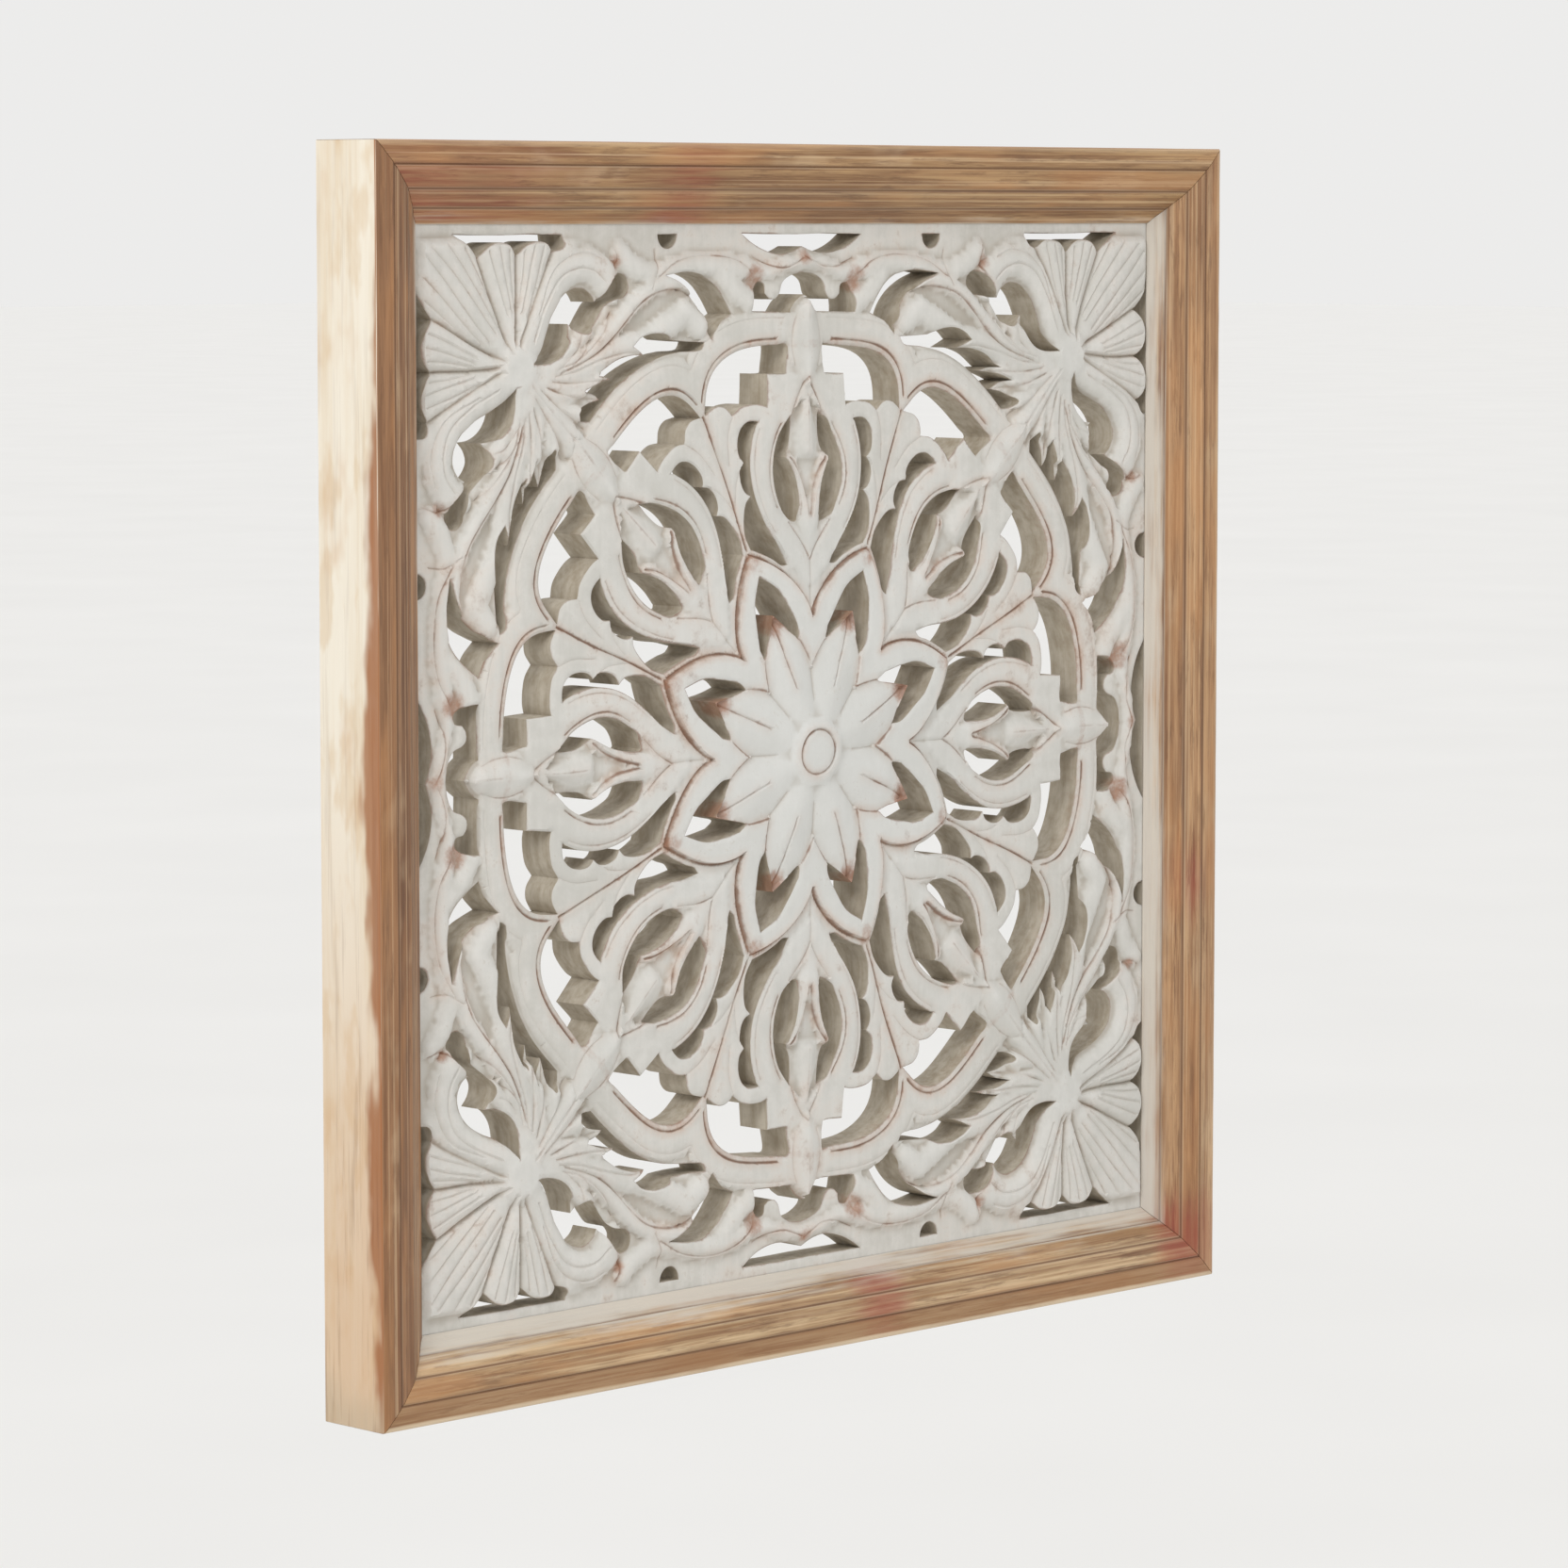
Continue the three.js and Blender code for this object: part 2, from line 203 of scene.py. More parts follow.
def lobe_edge(outwards=0.0, steps=24):
    """Half a lobe of the ring, from its flat middle round to the notch beside it."""
    line = []
    for t in np.linspace(0, math.pi / 2, steps + 1):
        x = (LOBE_HALF + outwards) * math.sin(t) ** LOBE_BEND
        y = LOBE_FOOT + (LOBE_RISE + outwards) * max(0.0, math.cos(t)) ** LOBE_BEND
        if x <= y * math.tan(HALF):
            line.append((x, y))
    return np.array(line)


print("a lobe of the ring ends at", lobe_edge()[-1].round(1), "millimetres")

# %% [markdown]
# ## Openings
# Each opening was sawn with a fretsaw, so its sides are straight down and its plan has crisp
# corners where the saw turned. The runs below meet in such corners. One opening of each kind
# is drawn, and the pattern gives it its other places.

# %% Draw the openings


def half_shape(*runs):
    """A closed shape from its right half, which starts and ends on the middle line."""
    right = [list(map(tuple, run)) for run in runs]
    left = [[(-x, y) for x, y in reversed(run)] for run in reversed(right)]
    return outline(*right, *left)


star_opening = half_shape(
    [polar(97, 0), polar(86.5, 0.25), polar(77, 0.39), polar(64.5, 0.58)],
    [polar(58.5, 0.565), polar(64, 0.31), (0, 75)],
)
eye_opening = outline(
    [(10, 171)] + [(eye_half(y), y) for y in np.linspace(168, 119.5, 9)] + [(8.6, 116)],
    [(7.4, 117), (7.2, 126), (9.6, 138), (15, 148.8)],
    [(15, 148.8), (11.2, 154.5), (9.8, 163), (10, 171)],
)
bud_side_opening = outline(
    [(15, 94.5)] + [star_edge(share, 3.4) for share in np.linspace(0.5, 0.93, 5)],
    [star_edge(0.93, 3.4), (43.4, 111), (44.4, 120), (43.2, 127), (40.2, 130.5)],
    [(40.2, 130.5), (44, 132.5), (46.8, 138), (46.8, 143.5), (44.2, 147.2)],
    [(44.2, 147.2), (47.2, 150.5), (48.2, 156.5), (46.5, 163), (42.5, 167), (38, 168), (34, 167.5)],
    [(bud_half(y), y) for y in np.linspace(166, 104, 9)] + [(15, 94.5)],
)
lobe_opening = outline(
    [(28.2, 175), (27.6, 190)],
    [(27.6, 191), (14, 191)],
    [(13.8, 191.5), (12.6, 205.4)],
    [tuple(p) for p in lobe_edge()[2:]],
    [(68.3, 171.8), (62.5, 175), (57, 174.6), (51.5, 170.6)],
    [(51.5, 170.6), (46, 174.5), (39, 176), (32, 176), (28.2, 175)],
)
ring_gap = outline(
    [(70, 207.6), (82, 208.2), (92, 208.8)],
    [(92, 208.8), (98, 211.5), (108, 212.3), (116, 210), (121, 206)],
    [(121, 206), (116, 203.6), (111.5, 201.6)],
    [(111.5, 201.6), (121, 201.6), (132, 198.5), (143, 191)],
    [(143, 191), (137, 191), (131, 189.6)],
    [(131, 189.6), (141, 188), (152.5, 184)],
    [(152.5, 184), (145, 182.6), (139, 179.6)],
    [(139, 179.6), (148, 177.6), (157, 173), (153, 169.6), (147, 169)],
    [(147, 169), (137, 178.5), (126, 187.5), (114, 194.8), (100, 200.2), (86, 202.8), (72, 204.2)]
    + [(70, 207.6)],
)
tongue_opening = outline(
    [(49, 220.5), (54, 228), (61, 235.6), (70, 240.4), (82, 242.2), (97, 240.4)],
    [(97, 240.4), (87, 236.6), (77.5, 230.5), (71, 223), (67.5, 215), (65.4, 209)],
    [(65.4, 209), (58, 216.2), (49, 220.5)],
)
crown_opening = half_shape(
    [(0, 241.6), (8, 240.2), (14, 236.6), (16.4, 230.6), (19, 228), (23, 228), (26.2, 230.4)],
    [(26.2, 230.4), (27.2, 235), (31.5, 236), (34.4, 232), (36, 226), (36.2, 221.4)],
    [(36.2, 221.4), (22, 221.6), (9.4, 221.4)],
    [(9.4, 221.4), (5.4, 226.6), (0, 230.4)],
)
hook_opening = outline(
    [(139, 232.4), (133, 239.4), (127, 241.8), (122, 239.8), (120.6, 234.6), (124, 230.2), (130, 229)]
    + [(135.4, 227.4), (141, 221), (145.5, 215), (151, 212), (156.5, 213.6), (161, 217.4)],
    [(161, 217.4), (161.4, 211), (164.4, 205), (170, 200.6), (178, 198.6), (187, 198.6)],
    [(187, 198.6), (181, 203.6), (176.4, 210), (172.4, 220), (167, 228.4), (159.6, 233.8)]
    + [(152, 234.8), (146, 231.6), (143.4, 227.6)],
    [(143.4, 227.6), (139, 232.4)],
)
shell_end = outline(
    [(164.6, 260.4), (164.2, 256.4), (166, 254), (171.6, 252.2)],
    [(171.6, 252.2), (177, 256.4), (184, 257), (190, 255), (195.2, 250.4)],
    [(195.2, 250.4), (200, 255.6), (207, 257.2), (214, 255), (220, 249.6)],
    [(220, 249.6), (226, 255), (235, 260.4)],
    [(235, 260.4), (200, 260.4), (164.6, 260.4)],
)
lens_opening = half_shape(
    [(0, 254.4), (8, 251.6), (18, 250.4), (28, 252.4), (36, 256), (42.5, 260.4)],
    [(42.5, 260.4), (20, 260.4), (0, 260.4)],
)
border_hole = outline(
    [(94 - 6.5 * math.cos(a), 260.4 - 7.2 * math.sin(a)) for a in np.linspace(0, math.pi, 9)],
    [(100.5, 260.4), (87.5, 260.4)],
)
openings = (
    around(star_opening, start=HALF, both=False) + around(eye_opening) + around(bud_side_opening)
    + around(lobe_opening) + around(ring_gap, 4) + around(tongue_opening, 4)
    + around(crown_opening, 4, both=False) + around(hook_opening, 4) + around(shell_end, 4)
    + around(lens_opening, 4, both=False) + around(border_hole, 4)
)
print(len(openings), "openings with", sum(map(len, openings)), "points")

# %% [markdown]
# ## Engraved lines
# Between the openings the carver cut fine V-shaped lines: round the star, down the middle of
# each palmette, along the folds of the leaves. Whitewash has worn off them, so they read as
# brown. Each line has a half width and a depth in millimetres, and a share of brown.
# The eightfold lines are drawn in the wedge beside the upright bud, the corner lines in the
# upper right eighth of the panel. They become part of the mesh, because a line only painted
# or bumped on wouldn't catch the light from the side.

# %% Draw the engraved lines
wedge_lines = [
    ([polar(11.5, s) for s in np.linspace(0, 1, 5)], 1.2, 1.0, 0.8),
    ([star_edge(s, -0.4) for s in np.linspace(0, 1, 13)], 1.2, 1.1, 0.95),
    ([polar(74, 1), polar(58, 1), polar(36, 1)], 1.0, 0.8, 0.5),
    ([polar(44, 0), polar(36, 0), polar(27, 0)], 1.2, 0.4, 0.08),
    ([polar(44.6, 0), polar(51.6, 0.22), polar(59, 0.44), polar(64.4, 0.69)], 1.0, 0.9, 0.7),
    ([(14.4, 116.2), (10.5, 111.8), (6.6, 107.4), (3, 102.4), (0, 97)], 1.1, 0.9, 0.4),
    ([(0, 95.5), (0, 86), (0, 75)], 1.4, 0.8, 0.12),
    ([(eye_half(y) + 2.7, y) for y in np.linspace(124, 166, 8)], 1.0, 0.8, 0.55),
    ([(bud_half(y) - 2.8, y) for y in np.linspace(112, 164, 9)], 0.9, 0.5, 0.3),
    ([(12, 168), (8, 177), (3, 185), (0, 189)], 1.2, 0.9, 0.5),
    ([(12.6, 148.6), (8.6, 143.5), (5.2, 137), (2.6, 129), (0.9, 120)], 1.2, 1.3, 0.8),
    ([(6.2, 119.5), (6.4, 127), (9, 137.6), (13.6, 146.4)], 0.7, 0.4, 0.3),
    ([(0, 152), (0, 166), (0, 180)], 1.0, 0.6, 0.35),
    ([polar(112, 1), polar(150, 1), polar(184, 1)], 1.1, 1.0, 0.75),
    ([(44.2, 147.2), (49.5, 138), (50.4, 124)], 0.9, 0.5, 0.15),
    ([(51.5, 170.6), (54.6, 160), (54.4, 146)], 0.9, 0.5, 0.2),
    ([tuple(p) for p in lobe_edge(2.9) if p[0] > 13.5], 1.1, 1.0, 0.85),
    ([tuple(p) for p in lobe_edge(13.2) if p[0] > 14], 0.8, 0.4, 0.15),
    ([(0.4, 226), (0.3, 214), (0.2, 203)], 0.8, 0.3, 0.2),
    ([(6.6, 221), (9.2, 213), (9.8, 203), (8, 195)], 0.8, 0.5, 0.3),
]
corner_lines = [
    ([(66.5, 211), (68.5, 220), (76, 229), (88, 233.4), (102, 232.6), (113, 228.6), (123, 220.6)]
     + [(134, 210), (144, 202.6), (154, 198), (168, 194)], 1.1, 0.9, 0.5),
    ([(134, 222), (140, 213), (148, 205), (158, 199), (170, 196)], 0.9, 0.6, 0.3),
    ([(37, 240), (47, 246.6), (60, 249.8), (76, 249.6), (90, 246.6), (103, 239)], 0.9, 0.6, 0.45),
    ([(103, 252), (102.4, 244), (107, 234.6)], 0.9, 0.6, 0.35),
    ([(131.5, 255), (129.4, 248.5), (131.6, 241), (137.4, 232.6)], 1.2, 0.9, 0.6),
    ([(186, 210), (178, 228), (168, 240.5), (156, 244.6), (146, 243), (139, 238)], 1.1, 0.8, 0.16),
    ([(183, 222), (174, 241), (163, 249.6), (151, 252), (141, 249)], 1.1, 0.8, 0.16),
    ([(147.5, 213.4), (151.6, 204.6), (160, 197.4)], 0.8, 0.5, 0.35),
    ([(155, 213), (157.6, 204.6), (166, 198)], 0.8, 0.4, 0.25),
    ([(194.4, 207), (184, 230), (172.2, 251.6)], 1.8, 1.5, 0.22),
    ([(197, 208), (195.8, 230), (195.3, 249.4)], 1.8, 1.5, 0.22),
    ([(200.6, 205.4), (210, 227), (219.8, 248.6)], 1.8, 1.5, 0.22),
    ([(190, 221), (183, 240), (178.6, 254)], 1.2, 0.9, 0.16),
    ([(192.4, 224), (188, 242), (184.6, 254.6)], 1.2, 0.9, 0.16),
    ([(194.4, 226), (191.6, 241), (190.4, 252.4)], 1.2, 0.9, 0.16),
    ([(198, 226), (199.6, 240), (200.6, 253.6)], 1.2, 0.9, 0.16),
    ([(200, 225), (203.6, 240), (207, 254.6)], 1.2, 0.9, 0.16),
    ([(202.4, 223), (208, 238), (213.6, 253)], 1.2, 0.9, 0.16),
    ([(206, 219), (217, 237), (229, 254.4)], 1.2, 0.9, 0.18),
    ([(208, 217), (223, 236), (240, 255.6)], 1.2, 0.9, 0.18),
    ([(210, 214), (229, 234), (250.6, 254.6)], 1.2, 0.9, 0.18),
    ([(111.5, 201.6), (124, 203), (140, 199.6), (158, 194), (172, 192.6)], 1.2, 0.8, 0.3),
    ([(131, 189.6), (146, 188.6), (160, 188.4), (174, 190)], 1.2, 0.8, 0.3),
    ([(139, 179.6), (152, 180.6), (164, 182.6), (177, 187)], 1.2, 0.8, 0.3),
    ([(152, 166), (166, 174), (182, 186)], 1.2, 0.8, 0.3),
    ([(160, 160.4), (174, 174.4), (188, 188.4)], 0.9, 0.5, 0.2),
    ([(0, 249.6), (6, 246.6), (14, 243.8), (24, 244.2), (35, 248)], 0.9, 0.6, 0.5),
]
print(len(wedge_lines), "lines drawn in the wedge and", len(corner_lines), "in the corner")

# %% [markdown]
# ## The relief as a height
# A carved face without undercuts has one height at each place, so it can be written as a
# function. Sculpting it by hand or a displacement picture would also do, but a function keeps
# the edges crisp at any size and repeats each motif exactly. Everything is folded onto the
# drawn wedge first.

# %% Helpers for heights


def rising(value, width):
    """0 below nought, 1 above the width, smooth between."""
    t = np.clip(value / width, 0, 1)
    return t * t * (3 - 2 * t)


def laid(height, top, where):
    """The relief with a motif laid over it, wholly where its share is 1."""
    return height + (top - height) * where


def distance_to(line, points):
    """How far each point is from a line."""
    line = np.asarray(line, float)
    nearest = np.full(len(points), 1e9)
    for a, b in zip(line[:-1], line[1:]):
        along = np.clip(((points - a) @ (b - a)) / max(1e-9, (b - a) @ (b - a)), 0, 1)
        gap = points - a - along[:, None] * (b - a)
        nearest = np.minimum(nearest, np.hypot(gap[:, 0], gap[:, 1]))
    return nearest


def lobe_outwards(across, outwards):
    """How far outside the inner edge of the ring a place in the wedge lies, by halving."""
    low_side, high_side = np.full(len(across), -60.0), np.full(len(across), 80.0)
    power = 2 / LOBE_BEND
    for _ in range(16):
        middle = (low_side + high_side) / 2
        sideways = (across / (LOBE_HALF + middle)) ** power
        rise = np.maximum(1e-3, LOBE_RISE + middle)
        upwards = (np.maximum(0, outwards - LOBE_FOOT) / rise) ** power
        outside = (LOBE_RISE + middle <= 0) | (sideways + upwards > 1)
        low_side = np.where(outside, middle, low_side)
        high_side = np.where(outside, high_side, middle)
    return (low_side + high_side) / 2


def folded(points):
    """Places in the wedge beside the upright bud, and in the upper right eighth."""
    angle = np.arctan2(points[:, 0], points[:, 1])
    radius = np.hypot(points[:, 0], points[:, 1])
    local = np.abs(angle - TURN * np.round(angle / TURN))
    wedge = np.column_stack([radius * np.sin(local), radius * np.cos(local)])
    eighth = np.sort(np.abs(points), axis=1)
    return wedge, eighth


print("a place at (30, -120) folds to", *(place.round(1) for place in folded(np.array([[30, -120.0]]))))

# %% [markdown]
# ## The mandala
# The real mandala is domed: highest at the boss, lower at the star and the buds, level with
# the border outside the ring. Each motif has a top of its own and a short smooth step down to
# what lies beside it, as a gouge leaves it. The heights are millimetres above the flat border,
# and each motif is laid over the ones before it.

# %% The ground and the buds with their leaves


def bud_height(across, out):
    """The ground of a wedge with the bud, its raised rim, and the leaf and stem inside it."""
    radius = np.hypot(across, out)
    share = np.arctan2(across, out) / HALF
    radii = [70, 90, 110, 150, 190, 222, 232, 240]
    ground = np.interp(radius, radii, [6.4, 5.2, 4.2, 2.8, 1.9, 1.2, 0.4, 0])
    swell = 0.9 * np.sin(np.clip((1 - share) / 0.5, 0, 1) * math.pi / 2)
    height = ground + swell * rising(radius - 108, 20) * rising(200 - radius, 20)

    upwards = (np.clip(out, BUD_FOOT, 210) - BUD_FOOT) / BUD_RISE
    bud = np.where(out < 173, BUD_HALF * np.sin(math.pi / 2 * upwards), 28)
    bud = np.where(out > 191.5, 0, np.maximum(bud, 28 * (out > 168)))
    bud_top = np.interp(out, [68, 100, 150, 192], [7.2, 5.9, 4.4, 2.9])
    off_rim = np.clip(np.abs(across - (bud + 20) / 2) / 11, 0, 1)
    bud_top -= 2.0 * off_rim**2 * rising(across - 14, 8) * rising(out - 100, 12)
    on_bud = rising(bud + 0.6 - across, 1.4) * rising(191.8 - out, 1.4) * (out > 84)
    height = laid(height, bud_top, on_bud)

    eye = EYE_HALF * np.sin(math.pi * np.clip((out - EYE_FOOT) / EYE_LENGTH, 0, 1)) ** 0.8
    leaf = np.interp(out, [112, 130, 148.5, 149.5, 160, 182], [5, 6.5, 14.5, 9, 9, 2])
    to_edge = np.clip(across / np.maximum(leaf, 1), 0, 1)
    leaf_top = bud_top - np.interp(out, [104, 116, 128], [0.2, 0.9, 2.4]) - 0.6 * to_edge**2
    stem = distance_to([(1.6, 108), (3.6, 122), (7.2, 134), (12.4, 146.5)], np.column_stack([across, out]))
    round_stem = np.sqrt(np.clip(1 - (stem / 4.2) ** 2, 0, 1))
    leaf_top = leaf_top + np.interp(out, [108, 124], [0.6, 3.6]) * round_stem
    spade = (1 - to_edge) * rising(out - 146, 6)
    leaf_top = leaf_top + 3.6 * spade * rising(186 - out, 8)
    return laid(height, leaf_top, rising(eye - across, 1.6))


sample = bud_height(np.array([0, 36, 45.0]), np.full(3, 146.0))
print("heights in the middle of a bud, on its rim and beside it:", sample.round(1))

# %% Lay the star, the petals, the boss and the ring on it


def mandala_height(wedge):
    """Height of the whole mandala in the wedge, and how far outside the ring's inner edge."""
    across, out = wedge.T
    radius = np.hypot(across, out)
    share = np.arctan2(across, out) / HALF
    height = bud_height(across, out)

    shares = np.linspace(0, 1, 33)
    star = np.array([star_edge(s)[0] ** 2 + star_edge(s)[1] ** 2 for s in shares]) ** 0.5
    star_top = np.interp(radius, [0, 70, 110], [8.6, 8.2, 6.8]) - 0.5 * rising(radius - 96, 14)
    height = laid(height, star_top, rising(np.interp(share, shares, star) - radius, 1.4))

    petal = np.interp(share, PETAL_SHARES, PETAL_RADII)
    along = np.interp(radius, [0, 20, 40, 56, 66, 75], [10.8, 10.7, 10.3, 9.2, 7.6, 4.0])
    cheek = 3.4 * (1 - share) ** 1.3 * np.clip((radius - 8) / 34, 0, 1)
    crease = 0.7 * np.clip((share - 0.55) / 0.45, 0, 1) ** 2 * rising(radius - 36, 16)
    height = laid(height, along - cheek - crease, rising(petal - radius, 1.2))
    boss = 12.6 - 0.5 * (radius / 12) ** 2 * (radius < 12) - 0.3 * (radius >= 12)
    height = laid(height, boss, rising(18.5 - radius, 4))

    ring = lobe_outwards(across, out)
    ring_top = 2.1 - 0.7 * np.clip(np.abs(ring - 7.7) / 7.7, 0, 1) ** 3
    on_ring = rising(ring + 0.4, 1.0) * rising(RING_WIDTH - ring, 1.0) * (radius > 165)
    return laid(height, ring_top, on_ring), ring


print("height of the boss:", mandala_height(np.array([[0, 0.0]]))[0].round(1))

# %% [markdown]
# ## Leaves, shells and spears
# Outside the ring each corner has leaves that curl out of a shell, and a spear runs over the
# ring beside each bud. A leaf is a rounded ridge along its own line, so a line, a half width
# and a rise describe it. The shell is four lobes that meet in folds, spread from one hub.

# %% The height of the corners and the spears
# Each ridge: its line, half width and rise in millimetres.
RIDGES = [
    ([(188, 207), (181, 225), (172, 238), (160, 245.4), (148, 246.4), (139, 241), (135, 235)], 9, 3.8),
    ([(188, 195), (165, 197), (146, 204), (132, 216), (118, 228), (104, 236)]
     + [(88, 238.6), (74, 235)], 5, 3.5),
    ([(190, 192), (168, 191.6), (148, 196.6), (130, 204.6), (112, 208), (96, 216)]
     + [(84, 222), (74, 216)], 7, 3.6),
    ([(190, 191), (170, 187), (150, 187.4), (143, 190)], 4, 3.6),
    ([(190, 190), (172, 182.6), (154, 184)], 4, 3.6),
    ([(192, 190), (176, 177), (158, 173.6)], 5, 3.6),
    ([(192, 192), (176, 168), (169, 158)], 6, 3.8),
    ([(150, 150), (172, 172), (190, 190)], 7, 4.3),
    ([(186, 198), (170, 201), (158, 207), (151, 213)], 5, 3.3),
    ([(42, 243), (58, 246), (76, 245.8), (92, 243), (106, 240), (120, 246), (127, 252)], 6, 2.6),
    ([(38, 226), (47, 232), (56, 241)], 6, 2.5),
    ([(0, 247), (12, 246), (26, 241), (38, 243)], 4, 2.3),
]
RELIEF = 1.12
HUB = (196, 196)
SHELL_FOLDS = np.array([-46, -23.5, -0.8, 24.1, 65.9])
SPEAR_OUT = (186, 198, 205, 213, 222, 229.5)
SPEAR_HALF = (3, 12.6, 12.8, 11, 7.4, 0.3)


def corner_height(eighth):
    """Height of the leaves and the shell in the corner."""
    across, out = eighth.T
    height = np.zeros(len(eighth))
    for line, half_width, rise in RIDGES:
        bump = np.sqrt(np.clip(1 - (distance_to(line, eighth) / half_width) ** 2, 0, 1))
        height = np.maximum(height, RELIEF * rise * bump)
    hub_x, hub_y = across - HUB[0], out - HUB[1]
    reach = np.hypot(hub_x, hub_y)
    angle = np.degrees(np.arctan2(hub_x, hub_y))
    fold = np.clip(np.searchsorted(SHELL_FOLDS, angle) - 1, 0, 3)
    part = (angle - SHELL_FOLDS[fold]) / (SHELL_FOLDS[fold + 1] - SHELL_FOLDS[fold])
    lobe = np.sin(math.pi * np.clip(part, 0, 1)) ** 0.55
    shell = (0.6 + 2.8 * lobe) * rising(259.5 - out, 4) * rising(angle + 40, 14) * (out > 190)
    hub = 5.2 * rising(22 - reach, 14)
    return np.maximum(height, np.maximum(shell * rising(reach - 4, 8), hub))


def spear_height(wedge):
    """Height of the spear over the ring, and where it lies."""
    across, out = wedge.T
    half = np.interp(out, SPEAR_OUT, SPEAR_HALF)
    top = 5.6 - 3.4 * np.clip(across / np.maximum(half, 0.3), 0, 1)
    return top, rising(half - across, 0.9) * (out > 184) * (out < 230)


def board_height(points):
    """Height of the carved face above the border, in millimetres."""
    wedge, eighth = folded(points)
    upright = np.abs(points).min(axis=1) < 60
    inner, ring = mandala_height(wedge)
    height = np.where(ring < RING_WIDTH, inner, np.maximum(0, corner_height(eighth)))
    spear, on_spear = spear_height(wedge)
    on_spear = on_spear * np.where(upright, 1, rising(236 - wedge[:, 1], 8))
    return laid(height, spear, on_spear)


sample = board_height(np.array([[0, 0.0], [0, 146], [40, 146], [0, 213], [200, 200], [262, 0]]))
print("heights at boss, bud, rim, spear, hub and border:", sample.round(1))

# %% [markdown]
# ## Points for the carved face
# The face is one sheet of triangles between the openings. A plain grid would fray at every
# edge. Triangles that follow the lines of the carving need points on them: the outlines
# themselves, a row just inside each outline for its rounded edge, the middle and both
# shoulders of each engraved line, and a row on each side of every step of the relief. Between
# them an even field of points is enough.

# %% Keep new points clear of the old ones
CELL = 0.3
MAP_REACH = 330
taken = np.zeros((round(2 * MAP_REACH / CELL),) * 2, bool)


def cell_of(points):
    """The cells of the map that the points lie in."""
    return tuple(((np.asarray(points, float) + MAP_REACH) / CELL).astype(int).T)


def claim(points, reach):
    """Mark the cells within reach of the points as taken."""
    x, y = cell_of(points)
    n = int(reach / CELL)
    for dx in range(-n, n + 1):
        for dy in range(-n, n + 1):
            if dx * dx + dy * dy <= n * n:
                taken[x + dx, y + dy] = True


def beside(line, reach, closed=False):
    """The line moved sideways, to its left where reach is positive."""
    line = np.asarray(line, float)
    if closed:
        ahead = np.roll(line, -1, axis=0) - np.roll(line, 1, axis=0)
    else:
        ahead = np.gradient(line, axis=0)
    ahead = ahead / np.maximum(1e-9, np.linalg.norm(ahead, axis=1))[:, None]
    return line + reach * np.column_stack([-ahead[:, 1], ahead[:, 0]])


print("a map of", taken.shape, "cells, each", CELL, "mm wide")

# %% The outer edge and the outlines come first
half_width = (board_high.x - board_low.x) / 2 / unit
half_height = (board_high.z - board_low.z) / 2 / unit
edge = np.array([(-1, -1), (1, -1), (1, 1), (-1, 1)]) * (half_width, half_height)
points = [edge]
edges = []
holes = []
count = len(edge)
for loop in openings:
    loop = loop[np.linalg.norm(loop - np.roll(loop, 1, axis=0), axis=1) > 0.25]
    area = np.sum(loop[:, 0] * np.roll(loop[:, 1], -1) - loop[:, 1] * np.roll(loop[:, 0], -1))
    loop = loop if area > 0 else loop[::-1]
    holes.append(list(range(count, count + len(loop))))
    points.append(loop)
    count += len(loop)
    claim(np.vstack([loop, (loop + np.roll(loop, 1, axis=0)) / 2]), 0.65)
outline_count = count
print("openings:", len(holes), "points on their outlines:", outline_count)

# %% Then the engraved lines, the ridges and the edges of the relief


def in_eighths(line):
    """The line in all four corners, on both sides of each diagonal."""
    corners = ((1, 1), (-1, 1), (1, -1), (-1, -1))
    return [side * signs for side in (line, across_diagonal(line)) for signs in corners]


def add_line(line, joined, clear):
    """Add the points of a line that are still free, joined where neighbours both are."""
    global count
    free = ~taken[cell_of(line)]
    numbers = count + np.cumsum(free) - 1
    if joined:
        both = free[:-1] & free[1:]
        edges.extend(zip(numbers[:-1][both].tolist(), numbers[1:][both].tolist()))
    points.append(line[free])
    count += int(free.sum())
    if free.any():
        claim(line[free], clear)


cuts = [(copy, half) for line, half, *_ in wedge_lines for copy in around(smooth(line, 2.4))]
cuts += [(copy, half) for line, half, *_ in corner_lines for copy in in_eighths(smooth(line, 2.6))]
crests = [copy for line, *_ in RIDGES for copy in in_eighths(smooth(line, 3.0))]
for line in [line for line, half in cuts] + crests:
    add_line(line, True, 0.5)
for line, half in cuts:
    add_line(beside(line, half), False, 0.5)
    add_line(beside(line, -half), False, 0.5)
for loop in openings:
    add_line(beside(loop, 1.0, True), False, 0.6)
    add_line(beside(loop, -1.0, True), False, 0.6)
steps = [
    [polar(radius, share) for share, radius in zip(PETAL_SHARES, PETAL_RADII)],
    [star_edge(share) for share in np.linspace(0, 1, 13)],
    [(bud_half(y), y) for y in np.linspace(96, 172, 14)],
    [(eye_half(y), y) for y in np.linspace(106, 178, 14)],
    [tuple(p) for p in lobe_edge()],
    [tuple(p) for p in lobe_edge(RING_WIDTH - 0.5)],
    list(zip(SPEAR_HALF, SPEAR_OUT))[:0:-1],
]
for step in steps:
    for reach in (0.2, -1.3):
        for copy in around(beside(smooth(step, 2.4), reach)):
            add_line(copy, False, 0.7)
print("points on lines:", count - outline_count)

# %% Fill the rest evenly
GAP = 2.6
rows = np.arange(-half_height + GAP / 2, half_height - GAP / 3, GAP * 0.866)
field = []
for i, row in enumerate(rows):
    first = (1.5 if i % 2 else 3) * GAP / 2
    across = np.arange(-half_width + first, half_width - GAP / 3, GAP)
    field.append(np.column_stack([across, np.full(len(across), row)]))
field = np.vstack(field)
claim(np.vstack(points)[len(edge):], 1.1)
field = field[~taken[cell_of(field)]]
points = np.vstack(points + [field])
print("points in all:", len(points))

